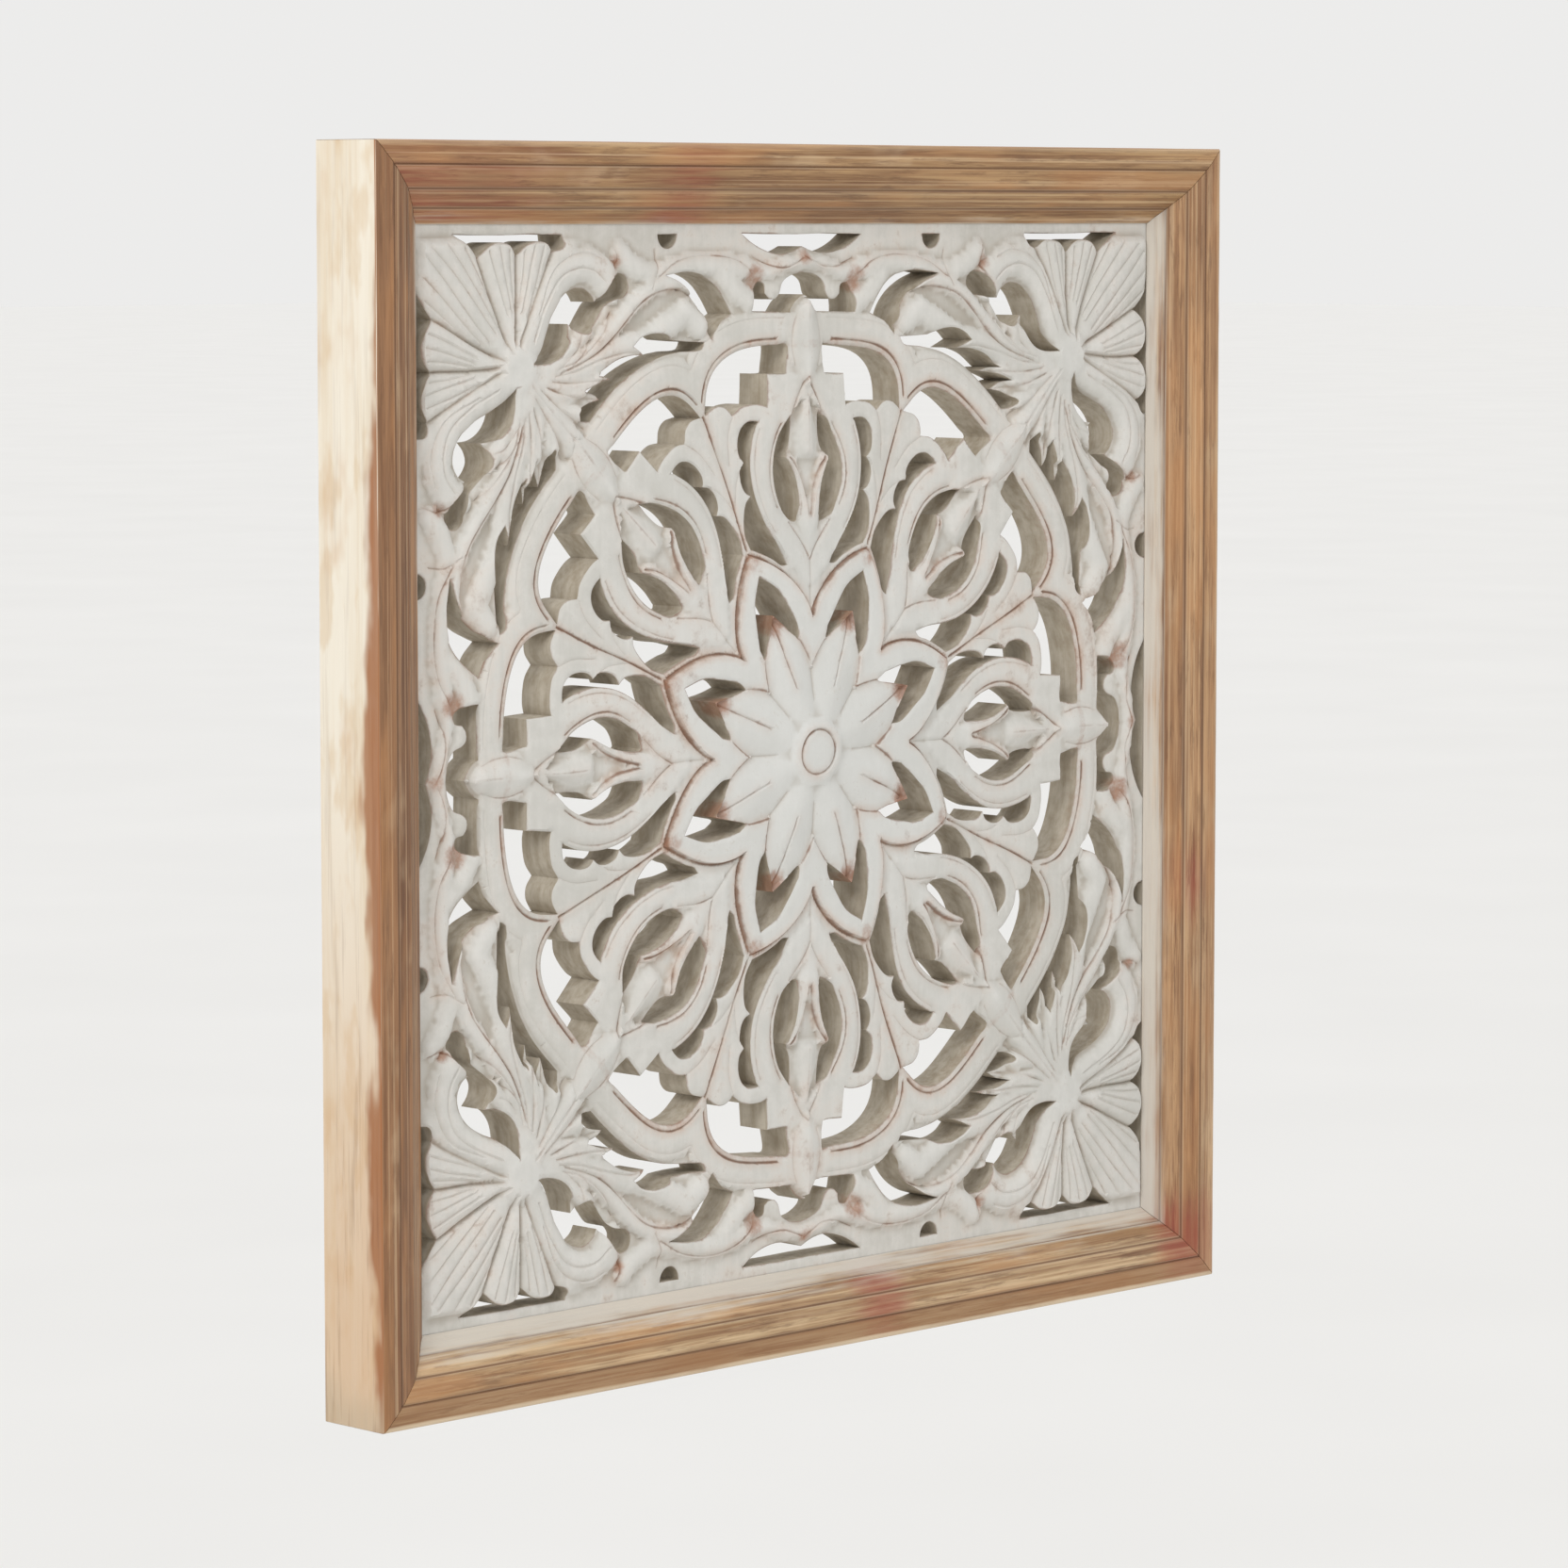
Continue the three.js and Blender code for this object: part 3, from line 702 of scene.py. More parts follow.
# %% [markdown]
# ## The carved board as a mesh
# A constrained Delaunay triangulation joins the points. It also tells which triangles lie in an
# opening, and those are left out. Cutting the openings with a boolean would work too, but it
# leaves long thin faces that shade badly. The cut walls get points of their own, so that the
# edge between face and wall stays crisp. The back is a plain sawn sheet with the same openings.

# %% Join the points
border = [(0, 1), (1, 2), (2, 3), (3, 0)]


def triangulated(places, fixed):
    """Points and triangles of the sheet between the openings."""
    made = delaunay_2d_cdt([Vector(p) for p in places], fixed, holes, 0, 1e-4, True)
    faces = [face for face, in_hole in zip(made[2], made[5]) if not in_hole]
    return np.array([tuple(v) for v in made[0]]), faces


plan, wood = triangulated(points, edges + border)
used = np.unique(np.concatenate([np.array(face) for face in wood]))
renumber = np.full(len(plan), -1)
renumber[used] = np.arange(len(used))
plan = plan[used]
wood = renumber[np.array(wood)]
print("triangles of the carved face:", len(wood))

# %% Find the edges of the openings
sides = np.vstack([wood[:, [0, 1]], wood[:, [1, 2]], wood[:, [2, 0]]])
keys = {(int(a), int(b)) for a, b in sides}
cut = np.array([(a, b) for a, b in sides.tolist() if (b, a) not in keys])
on_cut = np.zeros(len(plan), bool)
on_cut[cut.ravel()] = True
outer = np.maximum(np.abs(plan[:, 0]) / half_width, np.abs(plan[:, 1]) / half_height) > 0.9999
print("edges of the openings and the border:", len(cut))

# %% [markdown]
# ## Engraving and marks
# The engraved lines are sunk into the relief here, and the sawn edges are eased a little. The
# finish later needs to know where it lies: how brown a line is, where the paint has rubbed
# through, and whether a place is a hollow, which gets painted shade, or a crest, which gets a
# painted highlight. Each of these marks is worked out once per point and kept with the mesh,
# which is simpler than painting masks by hand.

# %% Sink the lines and ease the edges


def engraved(places):
    """Depth of the engraving and share of brown at each place, and of the haze beside it."""
    wedge, eighth = folded(places)
    deep, brown, halo = np.zeros((3, len(places)))
    for lines, local in ((wedge_lines, wedge), (corner_lines, eighth)):
        for line, half, cut_depth, share in lines:
            away = distance_to(smooth(line, 2.4), local)
            near = np.clip(1.02 - away / half, 0, 1)
            halo = np.maximum(halo, share * np.clip(1 - away / 4.5, 0, 1))
            deep = np.maximum(deep, cut_depth * near)
            brown = np.maximum(brown, share * near)
    return deep, brown, halo


def averaged(values, rounds):
    """Each value averaged with those next to it, several times over."""
    count = np.bincount(sides[:, 0], minlength=len(plan)) + 1
    for _ in range(rounds):
        total = np.bincount(sides[:, 0], values[sides[:, 1]], minlength=len(plan))
        values = (total + values) / count
    return values


EASED_EDGE = 0.75
deep, brown, halo = engraved(plan)
carved = board_height(plan) - deep
face_height = carved - EASED_EDGE * (on_cut & ~outer)
print(f"heights from {face_height.min():.1f} to {face_height.max():.1f} mm")

# %% Mark the hollows and crests for painted shade and highlights, and the brown stains
# How far each place lies below (positive) or above its neighbours: hollows get painted shade, crests a
# painted highlight.
FULL_BEND = 1.3
bend = np.clip((averaged(carved, 5) - carved) / FULL_BEND, -1, 1)
wedge, eighth = folded(plan)
ring = lobe_outwards(*wedge.T)
radius = np.hypot(*plan.T)
share = np.arctan2(wedge[:, 0], wedge[:, 1]) / HALF


def spot(x, y, size, soft):
    """A round stain about a place of the corner."""
    return rising(size - np.hypot(eighth[:, 0] - x, eighth[:, 1] - y), soft)


petal_tips = rising(radius - 56, 14) * rising(84 - radius, 8) * rising(share - 0.6, 0.3)
star_tips = rising(radius - 92, 12) * rising(114 - radius, 6) * rising(share - 0.8, 0.15)
ring_lip = rising(ring + 5, 4) * rising(5 - ring, 3) * (radius > 150)
cusps, hooks, crowns = spot(0, 249, 9, 8), spot(131, 247, 8, 7), spot(36, 238, 13, 10)
stains = [petal_tips, star_tips * 0.7, ring_lip * 0.5, cusps * 0.8, hooks * 0.85, crowns * 0.85]
stain = np.max(stains, axis=0)
print(f"stained points: {np.mean(stain > 0.5):.1%}, in hollows: {np.mean(bend > 0.3):.1%}")

# %% Helpers to build meshes
WAVER = 0.55
CALM_EDGE = 12


def at_depth(plan_points, depth):
    """Places of the model from places of the drawing, at a depth in metres.

    A knife and a fretsaw held by hand waver, so the drawing does too, by about half a
    millimetre. It is calm near the outer edge, which was cut along a rule.
    """
    x, y = plan_points.T
    outermost = np.maximum(np.abs(x) / half_width, np.abs(y) / half_height)
    calm = np.clip((1 - outermost) * CALM_EDGE, 0, 1)
    hand_x = np.sin(x / 23 + 1.3 * np.sin(y / 31)) * np.cos(y / 19 + 0.7) + 0.5 * np.sin(y / 9 + x / 41)
    hand_y = np.sin(y / 27 + 1.1 * np.sin(x / 29)) * np.cos(x / 17 + 2.1) + 0.5 * np.sin(x / 8 - y / 37)
    depth = np.broadcast_to(depth, len(plan_points))
    across, up = x + WAVER * calm * hand_x, y + WAVER * calm * hand_y
    return np.column_stack([across * unit, depth, middle_z + up * unit])


def mesh_piece(name, vertices, faces, marks, sharp_degrees):
    """An object of faces, smooth except at sharp angles, with a number per vertex for each mark."""
    mesh = bpy.data.meshes.new(name)
    mesh.from_pydata(vertices.tolist(), [], faces)
    mesh.update()
    mesh.shade_smooth()
    mesh.set_sharp_from_angle(angle=math.radians(sharp_degrees))
    for mark, values in marks.items():
        layer = mesh.attributes.new(mark, "FLOAT", "POINT")
        layer.data.foreach_set("value", np.asarray(values, np.float32))
    piece = bpy.data.objects.new(name, mesh)
    bpy.context.scene.collection.objects.link(piece)
    mesh.calc_loop_triangles()
    print(name, "has", len(mesh.loop_triangles), "triangles")
    return piece


# %% Build the board
lip = np.unique(cut)
place = np.full(len(plan), -1)
place[lip] = np.arange(len(lip))
front = at_depth(plan, board_front - face_height * MM)
wall_top = front[lip]
wall_foot = at_depth(plan[lip], board_back)
back_plan, back_wood = triangulated(points[:outline_count], border)
back = at_depth(back_plan, board_back)
back_start = len(front) + 2 * len(lip)
back_faces = [[i + back_start for i in reversed(face)] for face in back_wood]
a, b = place[cut[:, 0]] + len(front), place[cut[:, 1]] + len(front)
walls = np.column_stack([a, a + len(lip), b + len(lip), b])
behind_face = np.zeros(len(lip) * 2 + len(back))


def on_face(values):
    """Values for the face, and nought for the walls and the back."""
    return np.concatenate([values, behind_face])


marks = {
    "brown": on_face(brown),
    "halo": on_face(halo),
    "worn": on_face(on_cut * 1.0),
    "stain": np.concatenate([stain, stain[lip], stain[lip] * 0.4, np.zeros(len(back))]),
    "bend": on_face(bend),
    # How high the carving is, used later for a painted highlight on the highest parts.
    "high": on_face(np.clip(face_height / 9, 0, 1)),
    "wall": np.concatenate([np.zeros(len(front)), behind_face + 1]),
}
vertices = np.vstack([front, wall_top, wall_foot, back])
faces = wood.tolist() + walls.tolist() + back_faces
carved_board = mesh_piece("carved_board", vertices, faces, marks, 38)
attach(carved_board, "root")
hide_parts("carved_panel")

# %% [markdown]
# ## The mouldings
# Each moulding was run through a spindle cutter in one pass, so one section goes all along it.
# Four bands step down to the board, with a fine groove between each two. A curve with a bevel
# object could sweep it too. Here it is a mesh of rows, because then each point knows its band
# and its place along the side, which the finish needs. The edges are eased by wear.

# %% Draw the section
# Each band: width, fall and hollow in millimetres, from the outside in.
BANDS = [(11.4, 0.0, 0.0), (11.4, 3.4, 0.0), (9.2, 7.3, 0.35), (7.5, 6.8, 0.7)]
DEPTH = 43.0
ROUNDED = 1.6
EASED = 0.9
GROOVE_SIDE = 0.6


def band_rows(band, offset, height):
    """The rows across one band, eased at its edges."""
    width, fall, hollow = BANDS[band]
    last_band = band == len(BANDS) - 1
    first = GROOVE_SIDE if band else 2.4
    last = width if last_band else width - GROOVE_SIDE
    stops = [first, first + 0.35, first + EASED]
    stops += list(np.linspace(first + 1.6, last - 1.6, 6)) + [last - EASED, last - 0.35, last]
    rows = []
    for d in stops:
        near = min(d - first if band else 9, last - d)
        eased = 0.28 * max(0, 1 - near / EASED) ** 2
        bowl = 4 * hollow * (d / width) * (1 - d / width)
        to_groove = min(d if band else 9, 9 if last_band else width - d)
        # Painted shade: the dark of each groove spreads up to 1.8 mm onto the band beside it.
        dark = max(0, 1 - to_groove / 1.8) * 0.55
        pale = max(0, 1 - near / EASED) if band else max(0, 1 - (d - 2) / 1.6)
        rows.append((offset + d, height - fall * d / width - bowl - eased, band, dark, pale))
    return rows


def moulding_section():
    """Rows of offset inwards, height off the wall, band, groove and wear, from the wall round."""
    rows = [(0, h, -1, 0, 0) for h in (0, 6, 12, 18, 24, 30, 36, 40)]
    for t in np.linspace(0, math.pi / 2, 6):
        pale = math.sin(2 * t) if t < math.pi / 4 else 1
        inwards, down = ROUNDED * (1 - math.cos(t)), ROUNDED * (1 - math.sin(t))
        rows.append((inwards, DEPTH - down, min(0, t - 1), 0, pale))
    offset, height = 0.0, DEPTH
    for band, (width, fall, _) in enumerate(BANDS):
        if band:
            groove_depth = 0.8 if band == 1 else 0.45
            rows.append((offset, height - groove_depth, band, 1.3, 0))
        rows += band_rows(band, offset, height)
        offset, height = offset + width, height - fall
    rebate, foot = offset - 6, height - 0.8
    rows += [(offset, foot, 3, 0, 0), (rebate, foot, -2, 0, 0), (rebate, 0, -2, 0, 0)]
    return np.array(rows, float)


section = moulding_section()
section_width = sum(width for width, *_ in BANDS)
print(f"{len(section)} points round the section, {section_width:.1f} mm wide")

# %% Sweep it along the four sides
STATION = 11 * MM
MITRE_GAP = 0.3 * MM
KNOCKS = 0.22


def moulding(name, length, span, angle, seed, red_spots):
    """A side of the frame: the section at every station, knocked a little by use."""
    stations = max(24, int(length / STATION))
    t = np.linspace(-1, 1, stations + 1)
    offset, out, band, groove, wear = section.T
    along = t[:, None] * (length / 2 - offset * MM - MITRE_GAP * math.sqrt(0.5))
    random = np.random.default_rng(seed)
    knocks = random.uniform(0, 1, along.shape) ** 3 * wear * KNOCKS * MM
    depth = out * MM - knocks
    v = span / 2 - np.broadcast_to(offset * MM, along.shape)
    x = along * math.cos(angle) - v * math.sin(angle)
    z = middle_z + along * math.sin(angle) + v * math.cos(angle)
    vertices = np.stack([x, -depth, z], axis=-1).reshape(-1, 3)
    n = len(section)
    faces = []
    for i in range(stations):
        for j in range(n):
            k = (j + 1) % n
            faces.append((i * n + j, i * n + k, (i + 1) * n + k, (i + 1) * n + j))
    faces.append(tuple(range(n))[::-1])
    faces.append(tuple(stations * n + j for j in range(n)))

    def spread(values):
        return np.broadcast_to(values, along.shape).ravel()

    red = sum(amount * np.exp(-(((along - place) / reach) ** 2)) for place, reach, amount in red_spots)
    round_section = np.concatenate([[0], np.cumsum(np.hypot(*np.diff(section[:, :2], axis=0).T))])
    marks = {
        "along": along.ravel(),
        "offset": spread(round_section * MM),
        "band": spread(band),
        "groove": spread(groove),
        "inwards": spread(offset / section_width),
        "red": np.clip(red, 0, 1).ravel(),
        "worn": spread(wear),
    }
    return mesh_piece(name, vertices, faces, marks, 32)


half_w, half_h = panel_width / 2, panel_height / 2
# Each red stain: place along the side, reach and strength.
red_spots = {
    "top": [(-0.9 * half_w, 0.16, 0.7), (-0.3 * half_w, 0.03, 0.6)],
    "bottom": [(-0.93 * half_w, 0.03, 1), (-0.14 * half_w, 0.03, 0.8)],
    "left": [(-0.9 * half_h, 0.05, 0.4)],
    "right": [(0.93 * half_h, 0.035, 1), (0.28 * half_h, 0.04, 0.6)],
}
turns = {"top": 0.0, "bottom": math.pi, "left": math.pi / 2, "right": -math.pi / 2}
mouldings = {}
for seed, (side, angle) in enumerate(turns.items(), 1):
    length, span = (panel_width, panel_height) if side in ("top", "bottom") else (panel_height, panel_width)
    mouldings[side] = moulding(f"moulding_{side}", length, span, angle, seed, red_spots[side])
    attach(mouldings[side], "root")
    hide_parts(f"frame_{side}")

# %% [markdown]
# ## Finishes
# Blender builds a material from nodes. Written as nodes, even a sum takes several lines, so a
# small class lets ordinary operators do it: each operation adds its Math node and gives back a
# socket to go on with. Colours and vectors have nodes of their own, so they have methods.

# %% A class for shader arithmetic


class Shade:
    """A socket of a material, usable in Python expressions."""

    def __init__(self, tree, socket=None):
        self.tree = tree
        self.socket = socket

    def node(self, kind, settings=None, inputs=None, outlet=0):
        """Add a node: its settings first, then the values or links of its sockets."""
        made = self.tree.nodes.new(kind)
        for name, value in (settings or {}).items():
            setattr(made, name, value)
        for place, value in (inputs or {}).items():
            if isinstance(value, Shade):
                self.tree.links.new(value.socket, made.inputs[place])
            else:
                made.inputs[place].default_value = value
        return Shade(self.tree, made.outputs[outlet])

    def math(self, operation, *values):
        return self.node("ShaderNodeMath", {"operation": operation}, dict(enumerate(values)))

    def __add__(self, other):
        return self.math("ADD", self, other)

    def __radd__(self, other):
        return self.math("ADD", other, self)

    def __sub__(self, other):
        return self.math("SUBTRACT", self, other)

    def __rsub__(self, other):
        return self.math("SUBTRACT", other, self)

    def __mul__(self, other):
        return self.math("MULTIPLY", self, other)

    def __rmul__(self, other):
        return self.math("MULTIPLY", other, self)

    def step(self, start, end):
        """0 below the start, 1 above the end, smooth between."""
        inputs = {"Value": self, "From Min": start, "From Max": end}
        return self.node("ShaderNodeMapRange", {"interpolation_type": "SMOOTHSTEP"}, inputs)

    def mix(self, under, over):
        """Two colours mixed by this value."""
        return self.node("ShaderNodeMix", {"data_type": "RGBA"}, {0: self, 6: under, 7: over}, outlet=2)

    def mark(self, name):
        """A value that the mesh keeps for each point."""
        return self.node("ShaderNodeAttribute", {"attribute_name": name}, outlet="Fac")

    def stretched(self, x, y, z):
        """This vector with its parts multiplied."""
        return self.node("ShaderNodeVectorMath", {"operation": "MULTIPLY"}, {0: self, 1: (x, y, z)})

    def noise(self, scale, detail=3.0, roughness=0.55):
        inputs = {"Vector": self, "Scale": scale, "Detail": detail, "Roughness": roughness}
        return self.node("ShaderNodeTexNoise", None, inputs)

    def bump(self, strength, distance):
        """A normal from this value as a height."""
        inputs = {"Strength": strength, "Distance": distance, "Height": self}
        return self.node("ShaderNodeBump", None, inputs, "Normal")


def paint(red, green, blue):
    """A colour as a picture shows it, 0 to 255, made linear for the shader."""
    parts = [value / 255 for value in (red, green, blue)]
    linear = [p / 12.92 if p <= 0.04045 else ((p + 0.055) / 1.055) ** 2.4 for p in parts]
    return (*linear, 1.0)


def new_material(name):
    """An empty material: its shader node and a Shade to start expressions from."""
    material = bpy.data.materials.new(name)
    material.use_nodes = True
    tree = material.node_tree
    return material, tree.nodes["Principled BSDF"], Shade(tree)


def connect(shader, place, shade):
    """Feed a socket of the shader."""
    shade.tree.links.new(shade.socket, shader.inputs[place])


print("middle grey as the shader takes it:", [round(part, 3) for part in paint(128, 128, 128)])

# %% [markdown]
# ## Whitewash
# Thin lime paint over brown wood. It is cloudy, chalky and a little grey, it has rubbed off the
# engraved lines and the sharp edges, and the sawn walls of the openings took less of it. It is
# built up in layers, each entry in a list lying over the one before it. Some layers are painted
# light: a painted highlight on the highest carving and on crests, and painted shade in hollows.

# %% Noise and marks for the whitewash
whitewash, shader, start = new_material("rubbed_whitewash")
where = start.node("ShaderNodeTexCoord", None, None, "Object")
clouds = where.noise(14.0, 3.0)
broad = where.noise(46.0, 3.0, 0.6).step(0.36, 0.62)
mottle = where.noise(95.0, 5.0, 0.68)
flakes = where.noise(210.0, 4.0, 0.7)
specks = where.noise(620.0, 2.0, 0.6)
fibres = where.stretched(260.0, 260.0, 16.0).noise(1.0, 3.0, 0.6)
brown_mark, halo_mark, worn_mark = start.mark("brown"), start.mark("halo"), start.mark("worn")
stain_mark, wall_mark = start.mark("stain"), start.mark("wall")
bend_mark, high_mark = start.mark("bend"), start.mark("high")
print("noise and marks:", len(whitewash.node_tree.nodes), "nodes")

# %% Mix the paint of the carved face


def layered(colour, layers):
    """A colour under layers of paint, each with its share."""
    for share, over in layers:
        colour = share.mix(colour, paint(*over))
    return colour


chalk = (clouds * 0.45 + mottle * 0.4 + fibres * 0.15).step(0.36, 0.64)
# Painted shade in the hollows of the relief and a painted highlight on its crests.
hollows = bend_mark.step(0.04, 0.9) * (0.3 + mottle * 0.5)
crests = (0 - bend_mark).step(0.06, 0.9) * 0.35
bare = (clouds * 0.6 + mottle * 0.4).step(0.5, 0.66) * (1 - high_mark) * 0.45
smudge = (mottle * 0.6 + specks * 0.4).step(0.56, 0.74) * 0.4
haze = halo_mark * (mottle * 0.7 + clouds * 0.6).step(0.4, 0.9) * 0.75
layers = [
    # Painted highlight: the higher the carving, the paler it is painted.
    (high_mark * 0.7, (210, 211, 208)),
    # Painted shade in the hollows, then a painted highlight on the crests.
    (hollows, (160, 150, 135)),
    (crests, (221, 219, 214)),
    (bare, (194, 178, 162)),
    (smudge, (170, 157, 140)),
    (haze, (184, 150, 126)),
]
face_colour = layered(chalk.mix(paint(193, 190, 182), paint(215, 212, 206)), layers)
print("layers on the face:", len(layers))

# %% Rub it off the lines and edges
wood_colour = fibres.mix(paint(98, 72, 56), paint(148, 112, 90))
in_line = (brown_mark * (0.55 + broad * 0.75) + (mottle - 0.5) * 1.2).step(0.1, 0.85)
rubbed = in_line * brown_mark.step(0.02, 0.15)
edge_rub = (worn_mark * 0.9 + (clouds + mottle - 1) * 2.2).step(0.3, 1.2) * 0.85
face_colour = (rubbed.math("MAXIMUM", rubbed, edge_rub) * 0.78).mix(face_colour, wood_colour)
wall_tone = (fibres * 0.5 + mottle * 0.5).step(0.3, 0.7)
wall_colour = wall_tone.mix(paint(156, 144, 125), paint(190, 182, 167))
surface = wall_mark.step(0.4, 0.6).mix(face_colour, wall_colour)
stained = (stain_mark * (mottle * 0.6 + flakes * 1.1)).step(0.3, 0.86) * 0.72
surface = stained.mix(surface, fibres.mix(paint(118, 72, 48), paint(176, 126, 96)))
connect(shader, "Base Color", surface)
connect(shader, "Roughness", 0.72 + mottle * 0.22)
shader.inputs["Specular IOR Level"].default_value = 0.3
connect(shader, "Normal", (mottle * 0.5 + specks * 0.25 + fibres * 0.4).bump(0.45, 0.0006))
carved_board.data.materials.append(whitewash)
print("whitewash nodes:", len(whitewash.node_tree.nodes))

# %% [markdown]
# ## Brown wood of the mouldings
# Each side was cut from its own length, so each has its own grain, which runs along it. The
# grooves are dark with old polish, and that dark is spread a little onto the bands beside them
# as painted shade. The edges are rubbed pale. The side that faces out is painted a pale cream,
# much lighter than the front: a painted highlight, as if lit from the left. It turns darker
# and more orange towards one end. Whitewash meant for the board also reached the innermost
# band on some sides. A photographed wood texture would show the same knots four times, so the
# grain is noise that is stretched along each side, from fine pores to broad clouds.

# %% Noise that runs along the wood
# Each noise: scale along the side and across it, detail, roughness.
WOOD_NOISE = {
    "grain": (14.0, 420.0, 4.0, 0.6),
    "streak": (5.0, 90.0, 3.0, 0.55),
    "pores": (60.0, 1500.0, 2.0, 0.5),
    "patch": (16.0, 30.0, 3.0, 0.6),
    "warm": (7.0, 40.0, 3.0, 0.6),
    "cloud": (4.0, 8.0, 3.0, 0.6),
    "blots": (24.0, 70.0, 3.0, 0.6),
    "veins": (9.0, 260.0, 4.0, 0.65),
    "lines": (1.6, 480.0, 2.0, 0.5),
    "fleck": (30.0, 320.0, 4.0, 0.7),
}


def wood_values(start, seed):
    """The marks of the mesh and the noises, by name."""
    names = ("along", "offset", "band", "groove", "inwards", "red", "worn")
    marks = {name: start.mark(name) for name in names}
    shifted = marks["band"] * 2.3 + float(seed)
    run = start.node("ShaderNodeCombineXYZ", None, {0: marks["along"], 1: marks["offset"], 2: shifted})
    for name, (lengthways, crossways, detail, roughness) in WOOD_NOISE.items():
        marks[name] = run.stretched(lengthways, crossways, 1.0).noise(1.0, detail, roughness)
    marks["front"] = marks["band"].step(-0.6, -0.2)
    return SimpleNamespace(**marks)


print("noises of the wood:", ", ".join(WOOD_NOISE))

# %% The pale side, painted as if lit


def side_finish(w, orange_span):
    """Colour of the side that faces out, painted pale as if lit, and how much darker and more orange it
    turns towards one end.
    """
    # The pale cream base is a painted highlight: the side is painted as if lit from the left.
    tone = (w.streak * 0.5 + w.grain * 0.2 + w.cloud * 0.3).step(0.3, 0.58)
    # Darker and more orange towards one end of the side.
    foot = (w.along + w.cloud * 0.12).step(*orange_span)
    edge = w.offset * 1000.0 + (w.warm - 0.5) * 34.0 + (w.patch - 0.5) * 22.0 + foot * 3.5
    # Darker and greyer over the last few centimetres at one end.
    greyer_end = (w.along + w.patch * 0.04).step(0.05 - half_h, 0.02 - half_h)
    layers = [
        (w.blots.step(0.5, 0.66) * 0.5, (208, 184, 150)),
        ((w.patch * 0.7 + w.warm * 0.3).step(0.53, 0.66) * 0.4, (196, 156, 112)),
        (foot * (0.2 + w.streak * 0.7), (194, 148, 98)),
        (edge.step(34.0, 41.0) * (0.5 + w.streak * 0.8), (152, 94, 48)),
        (greyer_end * (0.4 + w.grain * 0.5), (182, 164, 138)),
    ]
    return layered(tone.mix(paint(212, 194, 166), paint(227, 219, 203)), layers), foot


# The side is painted pale, as if lit from the left.
print(f"the bleached side is {DEPTH:.0f} mm deep")

# %% The whole finish of a side


def moulding_wood(side, seed, light, dark, washed, red, orange_span, outer, rim):
    """Wood from dark to light, whitewashed from a share of its width inwards and reddened.

    The pair after red is where the side begins to turn darker and more orange and where it
    wholly is. Outer darkens the outer band, and rim is the share of pale wear at the rim.
    """
    material, shader, start = new_material(f"brown_wood_{side}")
    w = wood_values(start, seed)
    tone = (w.grain * 0.35 + w.streak * 0.5 + w.pores * 0.15).step(0.36, 0.64)
    clouded = [
        (w.cloud.step(0.5, 0.66) * 0.5, (122, 84, 56)),
        (w.patch.step(0.56, 0.72) * 0.4, (198, 172, 138)),
    ]
    front_colour = layered(tone.mix(paint(*dark), paint(*light)), clouded)
    side_colour, foot = side_finish(w, orange_span)
    lowest = (0.32 + w.patch * 0.1 - w.inwards).step(0.02, 0.1) * (w.warm * 0.7 + w.streak * 0.7 - 0.05)
    blush = (w.red * (w.veins * 0.9 + w.patch * 0.9 - 0.1)).step(0.3, 0.85) * w.band.step(-0.3, 0.3)
    blush = blush.math("MAXIMUM", blush, w.cloud.step(0.6, 0.72) * w.band.step(-0.2, 0.4) * red * 0.6)
    rub = (w.worn * 0.9 + w.patch - 0.7).step(0.1, 0.8) * (1 - w.groove.step(0.0, 0.3) * 0.75) * 0.7
    at_rim = (0.12 - w.inwards).step(0.0, 0.02)
    brushed = w.streak * 0.9 + w.grain * 0.6 + w.patch * 0.6 - 1.05
    wash = (w.inwards + brushed * 0.6).step(washed - 0.06, washed + 0.24)
    layers = [
        (w.veins.step(0.52, 0.66) * (0.12 + foot * 0.2 + w.front * 0.44), (112, 72, 44)),
        (w.lines.step(0.52, 0.66) * 0.4 * w.front, (220, 190, 152)),
        ((1 - w.lines).step(0.54, 0.68) * 0.4 * w.front, (118, 76, 46)),
        (w.fleck.step(0.52, 0.66) * 0.45 * w.front, (96, 64, 40)),
        (w.warm.step(0.48, 0.64) * 0.4 * w.front, (188, 134, 84)),
        (lowest * outer * w.front, (136, 92, 52)),
        (blush * 0.62, (146, 54, 40)),
        # Dark old polish in the grooves, spread onto the bands beside them as painted shade.
        (w.groove.step(0.0, 0.9) * (0.5 + w.patch * 0.45), (98, 64, 38)),
        (rub * (1 - at_rim * (1 - rim)), (218, 199, 170)),
        (wash * 0.88, (202, 196, 185)),
    ]
    connect(shader, "Base Color", layered(w.front.mix(side_colour, front_colour), layers))
    connect(shader, "Roughness", 0.46 + w.patch * 0.2 + wash * 0.15)
    connect(shader, "Normal", (w.grain * 0.5 + w.pores * 0.5 - w.groove * 0.3).bump(0.4, 0.0005))
    return material


# Each side: seed, light and dark tone, whitewashed from, reddened, darker and more orange from
# and to, darker outer band, pale rim.
woods = {
    "top": (1, (182, 146, 102), (124, 88, 54), 0.99, 0.25, (0.2, -0.3), 0.0, 0.25),
    "bottom": (2, (202, 176, 138), (150, 114, 76), 0.72, 0.3, (0.2, -0.3), 0.9, 1.1),
    "left": (3, (158, 116, 80), (102, 68, 42), 0.97, 0.2, (0.12, -0.24), 0.2, 0.0),
    "right": (4, (194, 154, 112), (134, 96, 64), 0.78, 0.4, (-0.12, 0.24), 0.2, 0.3),
}
for side, numbers in woods.items():
    material = moulding_wood(side, *numbers)
    mouldings[side].data.materials.append(material)
    print(material.name, "has", len(material.node_tree.nodes), "nodes")

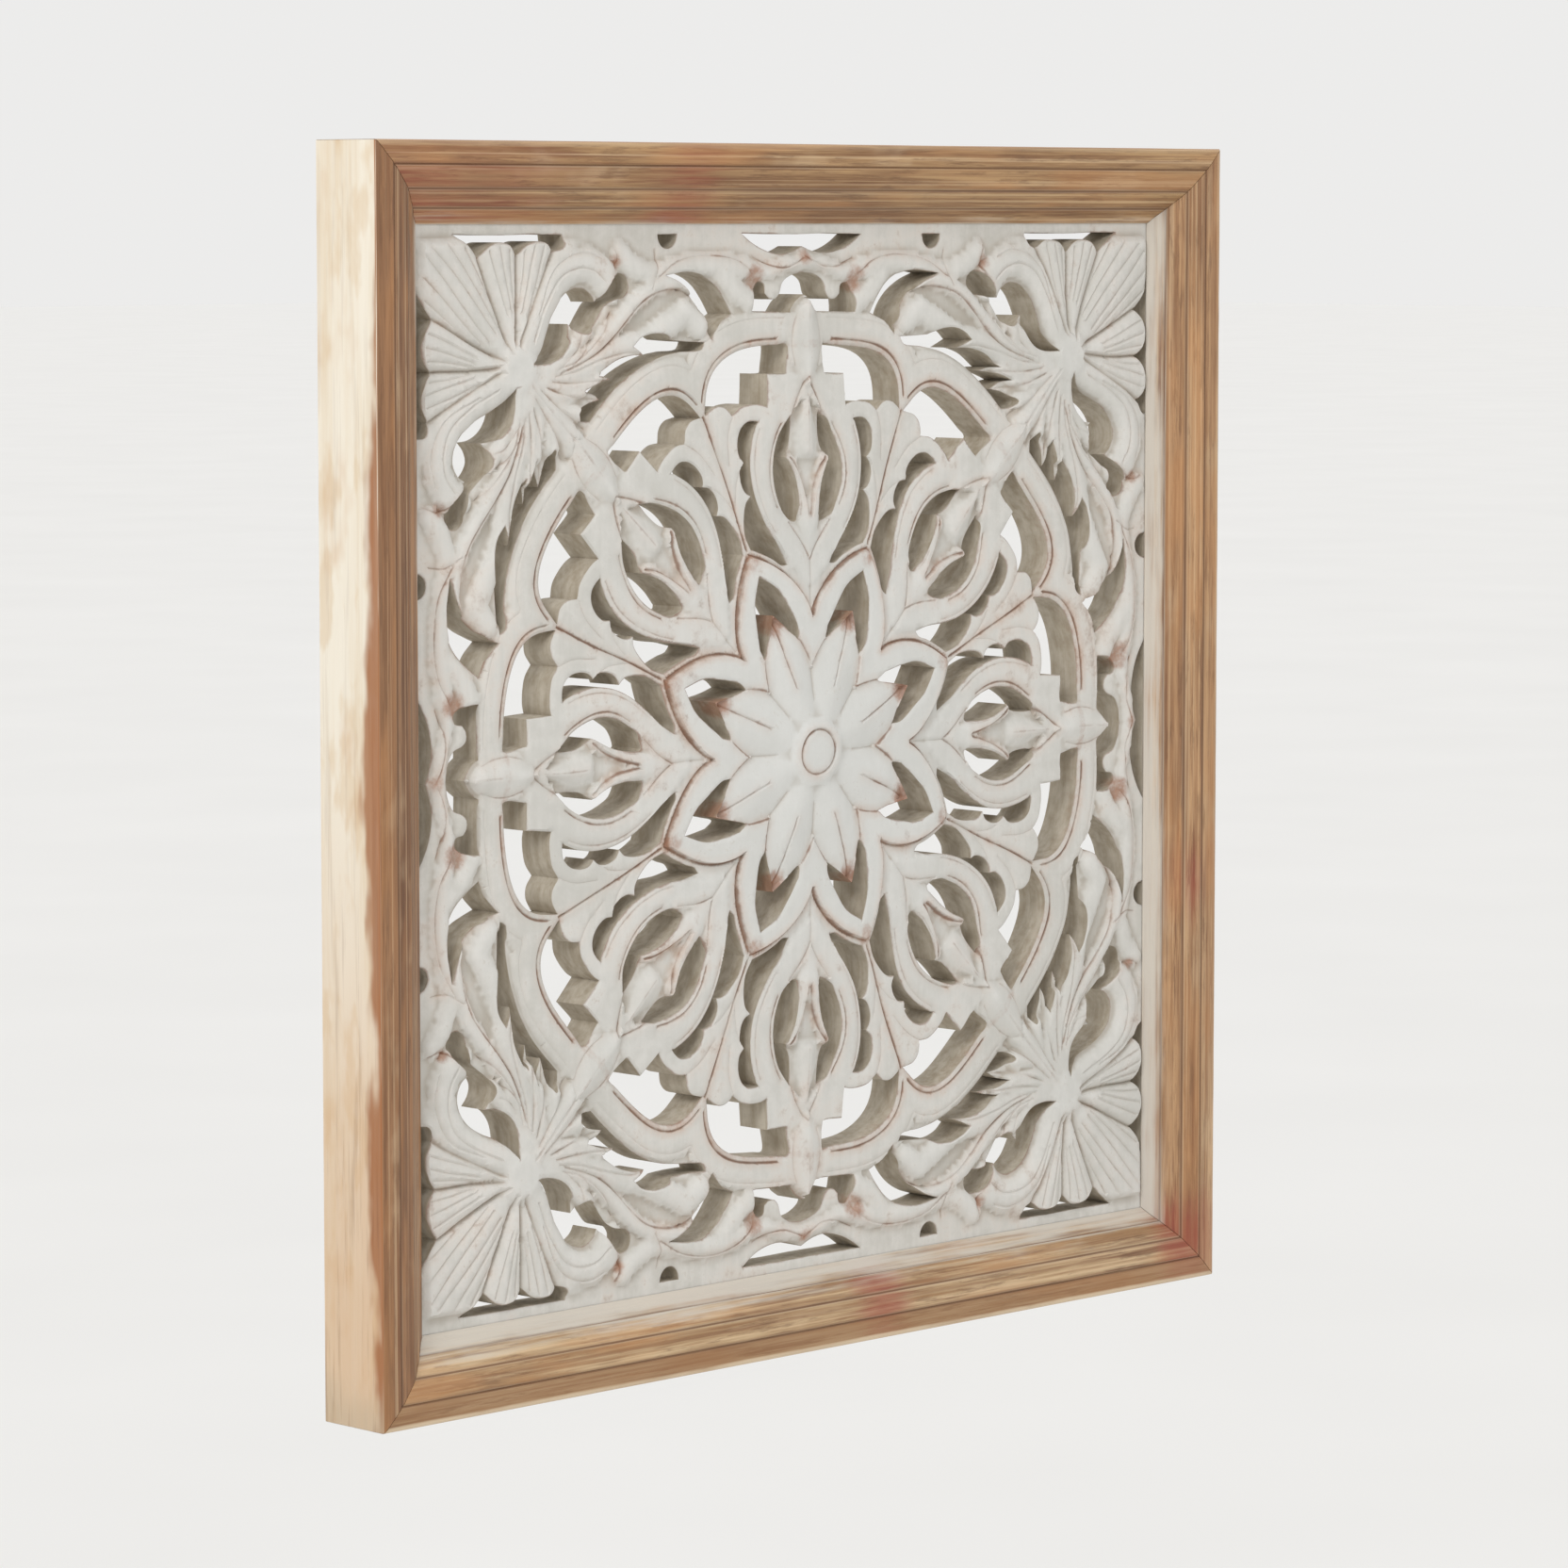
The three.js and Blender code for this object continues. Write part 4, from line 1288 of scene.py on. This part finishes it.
# %% [markdown]
# ## Floor, light and camera
# The panel hangs above a plain pale floor. The light is soft and comes mostly from the left,
# and the pale surroundings fill the shadows, which is closer to a shop's photograph than a
# lamp alone. The camera stands about three metres away, left of the middle and a little
# higher, with a long lens. Its place was fitted to the corners of the frame.

# %% Lay the floor
FLOOR_REACH = 90.0
FLOOR_DROP = 1.2
floor_z = low.z - FLOOR_DROP
corners = [(x * FLOOR_REACH, y * FLOOR_REACH, floor_z) for x, y in ((-1, -1), (1, -1), (1, 1), (-1, 1))]
floor_mesh = bpy.data.meshes.new("pale_floor")
floor_mesh.from_pydata(corners, [], [(0, 1, 2, 3)])
floor = bpy.data.objects.new("pale_floor", floor_mesh)
bpy.context.scene.collection.objects.link(floor)
floor_finish, shader, start = new_material("pale_floor")
shade = start.node("ShaderNodeTexCoord", None, None, "Object").noise(1.2, 2.0)
connect(shader, "Base Color", shade.mix(paint(236, 235, 232), paint(242, 241, 238)))
shader.inputs["Roughness"].default_value = 0.9
floor_mesh.materials.append(floor_finish)
print(f"floor at {floor_z:.2f} m")

# %% Light the room
LIGHT_POWER = 22
WINDOW_PLACE = (-1.9, -1.0, 1.15)
WINDOW_SIZE = 1.0
world = bpy.data.worlds.new("pale_room")
bpy.context.scene.world = world
world.use_nodes = True
sky = Shade(world.node_tree)
direction = sky.node("ShaderNodeTexCoord", None, None, "Generated")
up = direction.node("ShaderNodeSeparateXYZ", None, {0: direction}, "Z")
tone = up.step(0.02, 0.5).mix((0.842, 0.838, 0.83, 1), (0.98, 0.98, 0.985, 1))
connect(world.node_tree.nodes["Background"], "Color", tone)
window_data = bpy.data.lights.new("window", "AREA")
window_data.shape = "DISK"
window_data.size = WINDOW_SIZE
window_data.energy = LIGHT_POWER
window = bpy.data.objects.new("window", window_data)
window.location = WINDOW_PLACE
target = Vector((-0.1, -0.02, low.z * 0.3))
window.rotation_euler = (target - window.location).to_track_quat("-Z", "Y").to_euler()
bpy.context.scene.collection.objects.link(window)
bpy.context.scene.view_settings.view_transform = "Standard"
print("one soft light from the left,", LIGHT_POWER, "W")

# %% Place the camera
CAMERA_PLACE = (-2.0986, -2.1119, -0.01885)
CAMERA_LOOKS = (0.70345, 0.70418, -0.09637)
FOCAL_LENGTH = 134.7
camera_data = bpy.data.cameras.new("camera")
camera_data.sensor_width = 36
camera_data.lens = FOCAL_LENGTH
camera_data.clip_end = 300
camera = bpy.data.objects.new("camera", camera_data)
camera.location = CAMERA_PLACE
camera.rotation_euler = Vector(CAMERA_LOOKS).to_track_quat("-Z", "Y").to_euler()
bpy.context.scene.collection.objects.link(camera)
bpy.context.scene.camera = camera
print(f"camera {camera.location.length:.2f} m from the top of the panel")
